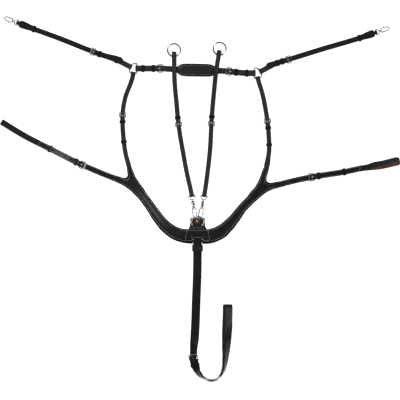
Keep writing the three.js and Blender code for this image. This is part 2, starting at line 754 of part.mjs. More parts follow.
function makeSaddle(name, side) {
  const line = strapLine(side.saddle);
  const at = line.nearest(side.saddleHeel);
  const inner = EYE_WIRE + 0.6;
  const keys = [...doubledStart(inner, MEDIUM, GATHERED), ...billetKeys(at, at + side.saddleTip, MEDIUM)];
  const strap = ribbon(line, keys, { tip: 10, step: 40 }).subtract(tongueHole(line, at));
  node(`${name}_saddle_elastic`, join([startFold(line, inner, GATHERED), strap]), "elastic");
  buckle(`${name}_saddle`, line, at, MEDIUM, 13);

  const end = line.length;
  const solids = chape(line, at, MEDIUM, [
    [end - 24, STACK, DOUBLED, MEDIUM],
    [end - EYELET - 0.8, HANG, DOUBLED, MEDIUM],
  ]);
  const fold = loop(line.frame(end), HANG, EYELET, EYELET + LEATHER, MEDIUM);
  node(`${name}_saddle_strap`, join([...solids, fold]), "leather", liftAxis(line.frame(end), HANG, -1));

  const bar = line.frame(0);
  const height = inner + LEATHER + GAP;
  const eyeBar = bar.point.clone().setZ(height);
  snap(`${name}_saddle_snap`, eyeBar, bar.tangent.clone().negate(), SADDLE_SNAP, 0);
}

function makeFork(name, side) {
  const line = strapLine(side.fork);
  const at = line.nearest(side.forkHeel);
  const inner = EYE_WIRE + 0.9;
  const keys = [...doubledStart(inner, NARROW), ...billetKeys(at, at + side.forkTip, NARROW)];
  const strap = ribbon(line, keys, { tip: 10, step: 30 }).subtract(tongueHole(line, at));
  const hangs = liftAxis(line.frame(0), inner + LEATHER + GAP, 1);
  node(`${name}_fork_lower_strap`, join([startFold(line, inner, NARROW), strap]), "leather", hangs);
  buckle(`${name}_fork`, line, at, NARROW, 13);

  const end = line.length;
  const upper = chape(line, at, NARROW, [
    [end - 84, STACK, DOUBLED, NARROW],
    [end - 60, CROSSING, DOUBLED, NARROW],
    [end - 24, CROSSING, DOUBLED, NARROW],
    [end - FORK_EYELET - 0.8, FORK_HANG, DOUBLED, NARROW],
  ]);
  const last = line.frame(end);
  upper.push(...longLoop(line, end, FORK_HANG, FORK_EYELET, FORK_LOOP, NARROW));
  node(`${name}_fork_upper_strap`, join(upper), "leather");

  const ring = new THREE.TorusGeometry(FORK_RING, RING_WIRE, 8, 24);
  const middle = last.point.clone().addScaledVector(last.tangent, FORK_RING - FORK_SAG);
  ring.translate(middle.x, middle.y, FORK_HANG);
  node(`${name}_fork_ring`, solid(ring), "steel", liftAxis(last, FORK_HANG, 1));

  const { bar, barHeight, tilt } = CENTRE_DEE;
  const [x, y] = side.hookWire;
  const wire = vector(x, y, barHeight + (y - bar) * Math.tan(THREE.MathUtils.degToRad(tilt)));
  const start = line.frame(0).point.clone().setZ(inner + LEATHER + GAP);
  const aim = wire.clone().sub(start).normalize();
  snap(`${name}_fork_snap`, start, aim, FORK_SNAP, side.hookRoll);
}

// ---------- Assembly ----------

const yokeChapes = [];
const padBillets = [];
for (const [name, side] of Object.entries(SIDES)) {
  yokeChapes.push(...makeShoulder(name, side));
  padBillets.push(makeNeck(name, side));
  shoulderDee(`${name}_shoulder_dee`, side.dee, side.sign);
  makeSide(name, side);
  makeSaddle(name, side);
  makeFork(name, side);
}
makeYoke(yokeChapes);
makeShield();
makeCentreDee();
makeGirth();
makeWitherPad(padBillets);

export default martingale;
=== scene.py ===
"""Looks of a five-point breastplate with a running-martingale fork, lying flat on a pale floor.

Lengths are in millimetres until a shape becomes an object, and +Y points to the withers. The floor,
lights and camera are in metres.
"""

import math

import bmesh
import bpy
import numpy as np
from mathutils import Matrix, Vector


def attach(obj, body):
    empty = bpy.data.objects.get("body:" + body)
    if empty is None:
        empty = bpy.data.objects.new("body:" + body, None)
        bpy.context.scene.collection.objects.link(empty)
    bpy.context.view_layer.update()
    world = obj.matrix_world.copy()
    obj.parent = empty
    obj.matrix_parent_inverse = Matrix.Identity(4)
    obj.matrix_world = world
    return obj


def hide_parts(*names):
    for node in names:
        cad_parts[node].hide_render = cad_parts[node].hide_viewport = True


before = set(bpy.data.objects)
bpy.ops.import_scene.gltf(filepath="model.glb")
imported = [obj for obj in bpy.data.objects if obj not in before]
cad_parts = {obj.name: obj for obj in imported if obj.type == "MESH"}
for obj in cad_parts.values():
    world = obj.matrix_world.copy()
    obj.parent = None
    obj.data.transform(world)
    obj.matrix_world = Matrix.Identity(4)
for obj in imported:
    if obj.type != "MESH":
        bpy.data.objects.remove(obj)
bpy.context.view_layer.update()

# ---------- Driving dimensions ----------

MM = 0.001
GAP = 0.3  # between pieces that touch
LEATHER = 2.0  # one layer of strap leather
WIRE = 1.3  # radius of buckle wire
DEE_WIRE = 2.0  # radius of a D ring's wire
RING_WIRE = 2.5  # radius of a fork ring's wire
EYE_WIRE = 1.6  # radius of a snap eye's wire
TONGUE = 1.2  # radius of a buckle tongue
KEEPER_WALL = 1.4
LAYER = 1.02  # from the middle of a doubled strap to the middle of one of its layers

NARROW = 14.0  # shoulder and fork straps
MEDIUM = 16.0  # saddle straps
WIDE = 18.0  # side and neck straps
GIRTH = 26.0  # girth strap

# Heights above a strap's own line, to the middle of the layer.
FOLD = WIRE + GAP + LEATHER  # from a heel bar to the outside of the chape folded round it
LOW = 2.0  # a single strap near the floor
STACK = 4.2  # the middle of a doubled chape
OVER = STACK + LEATHER + GAP + LEATHER / 2  # a billet that lies on its chape
CREST = STACK + FOLD + GAP + LEATHER / 2  # a billet where it passes over the heel bar
EYELET = DEE_WIRE + 0.5  # inside radius of a strap's fold round a D ring
HANG = EYELET + LEATHER + GAP  # a D ring's wire

YOKE_THICK = 9.0
NOTCH_HALF = 14.5
NOTCH_TOP = -7.0
RIM_Y, RIM_Z, RIM_RADIUS = -14.0, 6.0, 3.3
CENTRE_DEE = {"bar": 30.0, "height": 6.3, "middle": 42.0, "radius": 18.0, "tilt": 8.0}

FORK_RING = 19.3  # radius to the middle of a fork ring's wire
FORK_EYELET = RING_WIRE + 1
FORK_HANG = FORK_EYELET + LEATHER + GAP
FORK_SAG = 0.65  # how far a fork ring sits back into its fold
CROSSING = 15.0  # height of a fork strap where it crosses the neck strap
FORK_LOOP = 9.0  # how far a fork strap's end loop runs on past the ring's wire
FORK_SNAP = {"eye": 16.5, "neck": 22.0, "reach": 49.5, "leg": 7.2, "wire": 1.7, "half": 9.8,
             "roll": 42.0}
GATHERED = 11.0  # width of a saddle strap where it is gathered into the snap's eye
SADDLE_SNAP = {"eye": 14.0, "neck": 0.0, "reach": 22.0, "leg": 5.5, "wire": 1.6, "half": 8.2,
               "roll": 0.0}

STITCH_PITCH = 3.4
STITCH_LENGTH = 2.5
STITCH_RADIUS = 0.42
EDGE_TO_STITCHES = 2.4

LONG_STEP = 4.0  # between sections of a strap where it runs flat
SHORT_STEP = 1.2  # and near its ends
SHARP_ANGLE = 42  # degrees
FLESH_STRIPS = range(14, 18)  # the strips of a strap's section that are its underside

SIDES = {
    "left": {
        "sign": -1,
        "dee": (-182, 503),
        "shoulder": [(-192.5, 489), (-195.5, 474), (-202, 455), (-216, 418), (-224, 372),
                     (-223, 307), (-216, 250), (-206, 211)],
        "shoulder_heel": (-224, 357), "shoulder_tip": 83, "shoulder_keeper": 74,
        "side": [(-236, 170), (-254, 176), (-292, 191), (-352, 217), (-442, 262), (-518, 301),
                 (-584, 341)],
        "side_heel": (-352, 217), "side_tip": 142, "side_keeper": 100, "side_gap": 6,
        "neck": [(-50, 499), (-104, 503), (-134, 503), (-182, 503)],
        "neck_heel": (-118.5, 503), "neck_tip": 38, "neck_keeper": 45,
        "saddle": [(-539, 640), (-500, 625), (-410, 592), (-307, 551), (-242, 528), (-201, 508)],
        "saddle_heel": (-307, 551), "saddle_tip": 86, "saddle_keeper": 69,
        "fork": [(-17, 122), (-22, 146), (-32, 190), (-42, 244), (-56, 328), (-63, 400),
                 (-68, 454), (-69.5, 499), (-70, 539.3)],
        "fork_heel": (-57, 341), "fork_tip": 86,
        "hook_wire": (-7.3, 58.4),
    },
    "right": {
        "sign": 1,
        "dee": (170, 489),
        "shoulder": [(180.5, 475), (184.5, 460), (195, 426), (208, 357), (214, 295), (214, 250),
                     (206, 211)],
        "shoulder_heel": (210, 339), "shoulder_tip": 80, "shoulder_keeper": 65,
        "side": [(236, 153), (252, 157), (296, 168), (349, 178.5), (440, 193), (497, 204.5),
                 (545, 207.5, 5, -30), (598, 217, 8, -45)],
        "side_heel": (349, 178.5), "side_tip": 143, "side_keeper": 92, "side_gap": 16,
        "neck": [(44, 497), (87, 495), (122, 491), (150, 489), (170, 489)],
        "neck_heel": (102, 495), "neck_tip": 38, "neck_keeper": 46,
        "saddle": [(535, 611), (482, 593), (380, 563), (267, 528), (238, 519), (189, 494)],
        "saddle_heel": (267, 528), "saddle_tip": 62, "saddle_keeper": 29,
        "fork": [(20, 122), (24, 146), (30, 190), (38, 265), (42, 344), (45, 385), (50, 439),
                 (54.5, 484), (63.5, 543.8)],
        "fork_heel": (42, 344), "fork_tip": 86,
        "hook_wire": (7.8, 58.2),
    },
}

GIRTH_LINE = [
    (0, RIM_Y), (0, -44), (-1, -119), (-4, -197), (-6, -258), (-8, -300, 2, 5),
    (-10.5, -343, 10.8, 35), (-9, -362, 11, 35), (-1.5, -393, 11.5, 35), (8, -409, 14, 60),
    (22, -420, 15.5, 82), (39, -427, 15.5, 90), (55, -424, 15.5, 88), (68, -411, 15, 80),
    (75.5, -391, 14.5, 72), (79, -362, 13.5, 62), (81, -326, 11.5, 48), (84, -281, 8.5, 31),
    (87.5, -242, 4.2, 15), (88, -212, 4.2, 15),
]
GIRTH_HEEL = (-7, -371)
GIRTH_TIP = 29

# The breast yoke's centre lines as (x, y, width, thickness).
YOKE_ARCH = [
    (-216, 252, 12, 4), (-206, 211, 15, 5), (-199, 185, 20, 7), (-186, 151, 29, 9),
    (-147, 97, 30, 9), (-114, 50, 34, 9), (-94, 28, 37, 9), (-62, 7, 40, 9), (-30, 0, 43, 9),
    (0, 0, 44, 9), (36, 0, 44, 9), (68, 12, 42, 9), (90, 30, 37, 9), (110, 52, 32, 9),
    (136, 86, 28, 9), (163, 114, 28, 9), (186, 143, 27, 9), (200, 185, 19, 7),
    (210, 217, 15, 5), (214, 252, 12, 4),
]
YOKE_BRANCHES = [
    [(-176, 136, 22, 9), (-205, 157, 28, 9), (-230, 167, 21, 4), (-256, 176.5, 18, 4)],
    [(172, 124, 20, 9), (205, 145, 26, 9), (230, 152, 20, 4), (256, 157.5, 18, 4)],
]
YOKE_FILLET = 16.0  # where a branch leaves the arch

# The wither pad as (distance from its middle, width).
WITHER_PAD = [
    (-54.5, 19), (-49, 30), (-41, 37.5), (-30, 39), (0, 39), (24, 39), (35, 37.5), (43, 30), (48.5, 19),
]
WITHER_PAD_Y = 498
WITHER_PAD_THICK = 10.2
WITHER_PAD_TURN = -1  # degrees

# ---------- Lines ----------


def ease(t):
    t = min(max(t, 0.0), 1.0)
    return t * t * (3 - 2 * t)


def turns(count):
    """Angles all the way round, in equal steps."""
    return [2 * math.pi * k / count for k in range(count)]


def at_keys(keys, s):
    """Values between keys (s, value, ...), eased from one key to the next."""
    i = 0
    while i < len(keys) - 2 and s > keys[i + 1][0]:
        i += 1
    a, b = keys[i], keys[i + 1]
    t = ease((s - a[0]) / (b[0] - a[0]))
    return [x + (y - x) * t for x, y in zip(a[1:], b[1:])]


class Frame:
    """A place on a strap: x along it, y up out of it and z sideways."""

    def __init__(self, point, tangent, roll=0.0):
        up = (Vector((0, 0, 1)) - tangent * tangent.z).normalized()
        self.point = point
        self.tangent = tangent
        self.up = Matrix.Rotation(math.radians(roll), 3, tangent) @ up
        self.side = tangent.cross(self.up)

    def place(self, along, height, aside):
        return self.point + self.tangent * along + self.up * height + self.side * aside


class Line:
    """A smooth curve through (x, y), (x, y, z) or (x, y, z, roll in degrees), measured along itself."""

    STEPS = 40

    def __init__(self, points):
        full = [tuple(p) + (0.0,) * (4 - len(p)) for p in points]
        inner = [Vector(p[:3]) for p in full]
        places = [2 * inner[0] - inner[1], *inner, 2 * inner[-1] - inner[-2]]
        self.spans = [self.cubic(*places[i:i + 4]) for i in range(len(inner) - 1)]
        self.lengths = [0.0]
        last = inner[0]
        for span in self.spans:
            for k in range(1, self.STEPS + 1):
                here = self.point_on(span, k / self.STEPS)
                self.lengths.append(self.lengths[-1] + (here - last).length)
                last = here
        self.length = self.lengths[-1]
        self.rolls = [(self.lengths[i * self.STEPS], p[3]) for i, p in enumerate(full)]

    @staticmethod
    def cubic(p0, p1, p2, p3):
        d0, d1, d2 = [(a - b).length ** 0.5 for a, b in ((p0, p1), (p1, p2), (p2, p3))]
        m1 = ((p1 - p0) / d0 - (p2 - p0) / (d0 + d1) + (p2 - p1) / d1) * d1
        m2 = ((p2 - p1) / d1 - (p3 - p1) / (d1 + d2) + (p3 - p2) / d2) * d1
        return p1, m1, -3 * p1 + 3 * p2 - 2 * m1 - m2, 2 * p1 - 2 * p2 + m1 + m2

    @staticmethod
    def point_on(span, t):
        return span[0] + span[1] * t + span[2] * t * t + span[3] * t ** 3

    def frame(self, s):
        inside = min(max(s, 0.0), self.length)
        i = int(np.searchsorted(self.lengths, inside, side="right")) - 1
        i = min(i, len(self.lengths) - 2)
        share = (inside - self.lengths[i]) / (self.lengths[i + 1] - self.lengths[i])
        span = self.spans[i // self.STEPS]
        t = (i % self.STEPS + share) / self.STEPS
        tangent = (span[1] + span[2] * 2 * t + span[3] * 3 * t * t).normalized()
        point = self.point_on(span, t) + tangent * (s - inside)
        return Frame(point, tangent, at_keys(self.rolls, inside)[0])

    def nearest(self, place):
        target = Vector((*place, 0))
        steps = [k * 0.5 for k in range(int(self.length * 2) + 1)]
        return min(steps, key=lambda s: (self.frame(s).point.xy.to_3d() - target).length)


# ---------- Shapes ----------


class Shape:
    """Closed shapes in millimetres that become one object."""

    def __init__(self):
        self.points = []
        self.faces = []
        self.uvs = []
        self.inside = []
        self.edges = []

    def skin(self, rings, along, across, closed=False, edge=None, inner=()):
        """Joins a row of rings and caps the two ends, or joins them if closed.

        along and across give the texture place, edge is 1 where a strap's cut edge is, and the
        strips in inner are the flesh side.
        """
        first = len(self.points)
        count = len(rings[0])
        for ring in rings:
            self.points.extend(ring)
            self.edges.extend(edge or [0.0] * count)
        rows = len(rings) if closed else len(rings) - 1
        for i in range(rows):
            low, high = first + i * count, first + ((i + 1) % len(rings)) * count
            for j in range(count):
                k = (j + 1) % count
                self.faces.append((low + j, low + k, high + k, high + j))
                start, end = along[i], along[i + 1]
                self.uvs.append([(start, across[j]), (start, across[k]),
                                 (end, across[k]), (end, across[j])])
                self.inside.append(j in inner)
        if not closed:
            for i, flip in ((0, -1), (len(rings) - 1, 1)):
                order = range(count)[::flip]
                self.faces.append(tuple(first + i * count + j for j in order))
                self.uvs.append([(along[i], across[j]) for j in order])
                self.inside.append(False)

    def tube(self, points, radius, closed=False, facets=12):
        """A round wire. radius is one number or one for each point."""
        count = len(points)
        radii = [radius] * count if isinstance(radius, (int, float)) else radius
        rings = []
        along = [0.0]
        across = None
        for i, point in enumerate(points):
            ahead = points[(i + 1) % count] if closed or i < count - 1 else point
            behind = points[i - 1] if closed or i else point
            tangent = (ahead - behind).normalized()
            across = across or tangent.orthogonal()
            across = (across - tangent * across.dot(tangent)).normalized()
            other = tangent.cross(across)
            rings.append([point + across * (radii[i] * math.cos(a)) + other * (radii[i] * math.sin(a))
                          for a in turns(facets)])
            along.append(along[-1] + (ahead - point).length)
        self.skin(rings, along, [2 * radii[0] * k for k in range(facets)], closed)

    def build(self, name, body, finishes, replaces=()):
        mesh = bpy.data.meshes.new(name)
        mesh.from_pydata([tuple(p * MM) for p in self.points], [], self.faces)
        layer = mesh.uv_layers.new(name="strap")
        values = [c * MM for face in self.uvs for uv in face for c in uv]
        layer.data.foreach_set("uv", values)
        edge_mask = mesh.attributes.new("edge", "FLOAT", "POINT")
        edge_mask.data.foreach_set("value", self.edges)
        for finish in finishes:
            mesh.materials.append(finish)
        if len(finishes) > 1:
            mesh.polygons.foreach_set("material_index", [int(x) for x in self.inside])
        tidy_mesh(mesh, SHARP_ANGLE)
        return finish_object(bpy.data.objects.new(name, mesh), body, replaces)


def tidy_mesh(mesh, sharp):
    """Turns every face outwards and shades the mesh smooth, but for edges sharper than an angle."""
    work = bmesh.new()
    work.from_mesh(mesh)
    bmesh.ops.recalc_face_normals(work, faces=work.faces)
    work.to_mesh(mesh)
    work.free()
    mesh.shade_smooth()
    mesh.set_sharp_from_angle(angle=math.radians(sharp))


def finish_object(obj, body, replaces):
    bpy.context.scene.collection.objects.link(obj)
    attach(obj, body)
    if replaces:
        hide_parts(*replaces)
    return obj


def strap_section(width, thick):
    """Points (aside, height, edge) round a flat strap with rounded edges and a slight crown."""
    radius = 0.44 * thick
    half, tall = width / 2 - radius, thick / 2 - radius
    section = []
    for aside, height, start in ((half, tall, 0), (-half, tall, 90), (-half, -tall, 180),
                                 (half, -tall, 270)):
        if start == 90:
            section.extend((half * share, thick / 2 + 0.16 * (1 - share ** 2), 0.0)
                           for share in (0.7, 0.35, 0, -0.35, -0.7))
        if start == 270:
            section.append((0.0, -thick / 2, 0.0))
        for turn in (0, 30, 60, 90):
            angle = math.radians(start + turn)
            section.append((aside + radius * math.cos(angle), height + radius * math.sin(angle), 1.0))
    return section


def arc(centre, radius, start, end, steps):
    """(x, y) points round a centre, from one angle in degrees to another."""
    angles = [math.radians(start + (end - start) * k / steps) for k in range(steps + 1)]
    return [(centre[0] + radius * math.cos(a), centre[1] + radius * math.sin(a)) for a in angles]


def steps_between(start, end):
    """Places along a strap, closer together within 9 mm of its ends."""
    places = [start]
    while places[-1] < end - 0.6:
        near = min(places[-1] - start, end - places[-1])
        places.append(min(end, places[-1] + (SHORT_STEP if near < 9 else LONG_STEP)))
    return places


def keys_path(keys, start, end):
    """(s, height) along keys, closer together where the height changes."""
    path = []
    s = start
    while s < end - 0.5:
        height = at_keys(keys, s)[0]
        path.append((s, height))
        s += 1.5 if abs(at_keys(keys, s + 1.5)[0] - height) > 0.01 else LONG_STEP
    path.append((end, at_keys(keys, end)[0]))
    return path


def pinch(distance, radius):
    """Half the distance between two stitched layers, this far from the bar between them."""
    return LAYER + (radius - LAYER) * (1 - ease(distance / 9))


def billet_keys(at, tip):
    return [(at - 26, LOW), (at - 3, CREST), (at + 4, CREST), (at + 11, OVER), (tip, OVER)]


def folded_start(inner):
    """The path of a strap's stitched end: back along the bottom, round a ring and along the top."""
    middle = [(inner + 0.8, inner + LEATHER + GAP), (20, 3)]
    around = inner + LEATHER / 2
    places = steps_between(0.0, 22.0)
    lower = [(s, at_keys(middle, s)[0] - pinch(s, around)) for s in reversed(places)]
    fold = arc((0, middle[0][1]), around, -100, -260, 10)
    upper = [(s, at_keys(middle, s)[0] + pinch(s, around)) for s in places if s < 20]
    return lower + fold + upper + [(20, 3 + LAYER)]


def doubled_path(at, end, middle, half):
    """The closed path of a chape: along the top, round the far end, back below and round the heel bar."""
    places = steps_between(at, end)
    top = [(s, middle(s) + half(s)) for s in places]
    far = arc((end, middle(end)), half(end), 75, -75, 8)
    bottom = [(s, middle(s) - half(s)) for s in reversed(places)]
    heel = arc((at, middle(at)), half(at), -105, -255, 10)
    return top + far + bottom + heel


# ---------- Finishes ----------


class Finish:
    """A procedural material, built up node by node."""

    def __init__(self, name, roughness, metallic=0.0, **more):
        self.material = bpy.data.materials.new(name)
        self.material.use_nodes = True
        self.tree = self.material.node_tree
        self.shader = self.tree.nodes["Principled BSDF"]
        self.shader.inputs["Roughness"].default_value = roughness
        self.shader.inputs["Metallic"].default_value = metallic
        for socket, value in more.items():
            self.shader.inputs[socket.replace("_", " ")].default_value = value
        self.place = self.add("ShaderNodeTexCoord").outputs["Object"]

    def add(self, kind, inputs=None, **settings):
        node = self.tree.nodes.new(kind)
        for name, value in settings.items():
            setattr(node, name, value)
        for name, value in (inputs or {}).items():
            self.feed(node.inputs[name], value)
        return node

    def feed(self, socket, value):
        if isinstance(value, bpy.types.NodeSocket):
            self.tree.links.new(value, socket)
        else:
            socket.default_value = value

    def noise(self, scale, detail=3.0, vector=None):
        inputs = {"Vector": vector or self.place, "Scale": scale, "Detail": detail}
        return self.add("ShaderNodeTexNoise", inputs).outputs["Fac"]

    def spread(self, value, low, high, start=0.3, end=0.7):
        """A value that goes from low to high as the input goes from start to end."""
        inputs = {"Value": value, "From Min": start, "From Max": end, "To Min": low, "To Max": high}
        return self.add("ShaderNodeMapRange", inputs).outputs["Result"]

    def tint(self, value, colours, start=0.3, end=0.7):
        """The base colour, from the first colour to the second."""
        ramp = self.add("ShaderNodeValToRGB", {"Fac": value})
        for stop, place, colour in zip(ramp.color_ramp.elements, (start, end), colours):
            stop.position = place
            stop.color = (*colour, 1)
        return ramp.outputs["Color"]

    def mix(self, share, a, b):
        node = self.add("ShaderNodeMix", data_type="RGBA")
        self.feed(node.inputs[0], share)
        self.feed(node.inputs[6], a)
        self.feed(node.inputs[7], b)
        return node.outputs[2]

    def bump(self, height, depth, strength=1.0, normal=None):
        """depth is the height of a full bump in metres."""
        inputs = {"Height": height, "Distance": depth, "Strength": strength}
        node = self.add("ShaderNodeBump", inputs)
        if normal:
            self.tree.links.new(normal, node.inputs["Normal"])
        return node.outputs["Normal"]

    def use(self, socket, value):
        self.feed(self.shader.inputs[socket], value)
        return self


def leather(name, colours, roughness, grain, depth, shine, edge_colour=None):
    """Grained leather with uneven polish and, on straps, colour darkened towards the rounded edges."""
    made = Finish(name, roughness[0], Specular_IOR_Level=shine)
    patches = made.noise(38.0, 4.0)
    colour = made.tint(patches, colours)
    polish = made.spread(made.noise(95.0, 5.0), *roughness)
    if edge_colour:
        edge_mask = made.add("ShaderNodeAttribute", attribute_name="edge").outputs["Fac"]
        soft = made.spread(edge_mask, 0.0, 1.0, 0.55, 1.0)
        colour = made.mix(soft, colour, (*edge_colour, 1))
    cells = made.add("ShaderNodeTexVoronoi", {"Vector": made.place, "Scale": grain}, feature="SMOOTH_F1")
    creases = made.bump(made.noise(170.0, 6.0), depth * 1.6, 0.5)
    pores = made.bump(cells.outputs["Distance"], depth, 0.7, creases)
    return made.use("Base Color", colour).use("Roughness", polish).use("Normal", pores).material


def suede(name, colours):
    """The rough flesh side of leather; made near-black, it is also the painted shade inside cut holes."""
    made = Finish(name, 0.95, Specular_IOR_Level=0.2, Sheen_Weight=0.3)
    fibres = made.noise(900.0, 8.0)
    colour = made.tint(made.noise(60.0, 6.0), colours)
    return made.use("Base Color", colour).use("Normal", made.bump(fibres, 0.0004, 0.8)).material


def webbing(name, colours, ribs_along, ribs_across):
    """Woven elastic: ribs along it and finer ridges across it, at these pitches in metres."""
    made = Finish(name, 0.85, Specular_IOR_Level=0.12, Sheen_Weight=0.05)
    place = made.add("ShaderNodeUVMap", uv_map="strap").outputs["UV"]
    heights = []
    for pitch, direction in ((ribs_along, "Y"), (ribs_across, "X")):
        inputs = {"Vector": place, "Scale": 0.314 / pitch, "Distortion": 0.4}
        wave = made.add("ShaderNodeTexWave", inputs, bands_direction=direction)
        heights.append(wave.outputs["Fac"])
    coarse = made.bump(heights[0], 0.0006, 0.8)
    fine = made.bump(heights[1], 0.0003, 0.8, coarse)
    # Painted shade: the base colour follows the ribs' height and is darker in the grooves between them.
    colour = made.tint(heights[0], colours, 0.1, 0.9)
    return made.use("Base Color", colour).use("Normal", fine).material


def thread(name, colours):
    made = Finish(name, 0.75, Sheen_Weight=0.2)
    colour = made.tint(made.noise(300.0), colours)
    twist = made.add("ShaderNodeTexWave", {"Vector": made.place, "Scale": 420.0, "Distortion": 2.0})
    return made.use("Base Color", colour).use("Normal", made.bump(twist.outputs["Fac"], 0.0002)).material


def metal(name, colours, roughness):
    """Plated metal with faint tarnish and hairline scratches."""
    made = Finish(name, roughness[0], 1.0)
    colour = made.tint(made.noise(120.0, 6.0), colours)
    stretched = made.add("ShaderNodeMapping", {"Vector": made.place, "Scale": (1.0, 9.0, 1.0)})
    scratches = made.noise(420.0, 8.0, stretched.outputs["Vector"])
    made.use("Roughness", made.spread(scratches, *roughness))
    return made.use("Base Color", colour).use("Normal", made.bump(scratches, 0.00004, 0.5)).material


STRAP = leather("strap_leather", ((0.0105, 0.0097, 0.0115), (0.0165, 0.0152, 0.018)), (0.36, 0.46),
                950.0, 0.00005, 0.07, edge_colour=(0.003, 0.003, 0.0033))
# Painted sheen: a lighter copy of the strap leather, with the same polish and grain.
PAINTED_SHEEN_STRAP = leather("painted_sheen_leather", ((0.030, 0.0292, 0.031), (0.036, 0.0347, 0.0375)), (0.36, 0.46),
                950.0, 0.00005, 0.07, edge_colour=(0.006, 0.006, 0.0065))
# Painted light: a lighter copy of the yoke leather, with the same polish and grain, for the wither pad.
PAD = leather("painted_light_pad_leather", ((0.020, 0.0192, 0.0208), (0.0255, 0.0242, 0.027)), (0.30, 0.38),
              620.0, 0.00006, 0.11)
RIM = leather("rolled_rim", ((0.004, 0.0038, 0.0043), (0.008, 0.0076, 0.0085)), (0.46, 0.56),
              800.0, 0.00005, 0.05)
YOKE = leather("yoke_leather", ((0.009, 0.0083, 0.0098), (0.0145, 0.0132, 0.016)), (0.30, 0.38),
               620.0, 0.00006, 0.11)
POLISHED = leather("polished_leather", ((0.0085, 0.008, 0.009), (0.0145, 0.0137, 0.0155)), (0.26, 0.34),
                   800.0, 0.00005, 0.13, edge_colour=(0.003, 0.003, 0.0033))
FLESH = suede("flesh_side", ((0.085, 0.042, 0.022), (0.16, 0.082, 0.045)))
DARK_FLESH = suede("dark_flesh_side", ((0.016, 0.010, 0.008), (0.032, 0.021, 0.016)))
BROWN = suede("brown_backing", ((0.028, 0.014, 0.007), (0.062, 0.031, 0.014)))
ELASTIC = webbing("elastic", ((0.011, 0.0108, 0.0105), (0.026, 0.0253, 0.0245)), 0.0019, 0.0011)
THREAD = thread("thread", ((0.34, 0.34, 0.35), (0.52, 0.52, 0.53)))
BLACK_THREAD = thread("black_thread", ((0.022, 0.022, 0.024), (0.05, 0.05, 0.053)))
STEEL = metal("plated_steel", ((0.26, 0.255, 0.25), (0.42, 0.415, 0.41)), (0.12, 0.24))
# Painted shade: a darkened, duller copy of the plated steel, for the buckle frames and tongues.
PAINTED_SHADE_STEEL = metal("painted_shade_steel", ((0.035, 0.034, 0.035), (0.075, 0.073, 0.074)), (0.28, 0.42))
BRASS = metal("brass", ((0.62, 0.47, 0.26), (0.80, 0.64, 0.38)), (0.26, 0.40))
# Painted shade: near-black suede for the walls and floors of cut holes and slots.
PAINTED_HOLE_SHADE = suede("painted_shade_hole_wall", ((0.004, 0.004, 0.004), (0.008, 0.008, 0.008)))

# ---------- Small pieces ----------


def stitch_row(shape, places):
    """Stitches along a row of points that already lie on the leather."""
    steps = [0.0]
    for a, b in zip(places, places[1:]):
        steps.append(steps[-1] + (b - a).length)
    count = int(steps[-1] / STITCH_PITCH)
    spare = (steps[-1] - count * STITCH_PITCH) / 2
    coordinates = np.array([tuple(p) for p in places])

    def on(s):
        return Vector([np.interp(s, steps, coordinates[:, k]) for k in range(3)])

    for k in range(count):
        start = spare + k * STITCH_PITCH + (STITCH_PITCH - STITCH_LENGTH) / 2
        points = [on(start + STITCH_LENGTH * share) for share in (0, 0.15, 0.5, 0.85, 1)]
        radii = [STITCH_RADIUS * share for share in (0.45, 0.9, 1, 0.9, 0.45)]
        shape.tube(points, radii, facets=6)


def stitching(name, body, finish, rows):
    """All the rows of stitches on one piece, as one object."""
    shape = Shape()
    for places in rows:
        stitch_row(shape, places)
    shape.build(name, body, [finish])


def strap_row(line, start, end, aside, height):
    """Points on a strap's top, where height(s) is the top's height."""
    count = max(2, int((end - start) / 2) + 1)
    places = [start + (end - start) * k / (count - 1) for k in range(count)]
    return [line.frame(s).place(0, height(s), aside) for s in places]


def side_rows(line, start, end, width, height, inset=EDGE_TO_STITCHES):
    """A row of stitches near each edge of a strap."""
    return [strap_row(line, start, end, sign * (width / 2 - inset), height) for sign in (-1, 1)]


def tip_row(line, start, tip, width, height):
    """Stitches along both edges of a billet and round its tip, in one row."""
    half = width / 2 - EDGE_TO_STITCHES
    end = tip - EDGE_TO_STITCHES - 0.6
    bend = end - 9.6
    right = strap_row(line, start, bend, half, height)
    turn = [(bend + (end - bend) * math.sin(a), half * math.cos(a) ** 0.8)
            for a in (math.radians(d) for d in range(8, 90, 8))]
    tip_right = [line.frame(s).place(0, height(s), z) for s, z in turn]
    tip_left = [line.frame(s).place(0, height(s), -z) for s, z in reversed(turn)]
    left = strap_row(line, start, bend, -half, height)[::-1]
    return right + tip_right + [line.frame(end).place(0, height(end), 0)] + tip_left + left


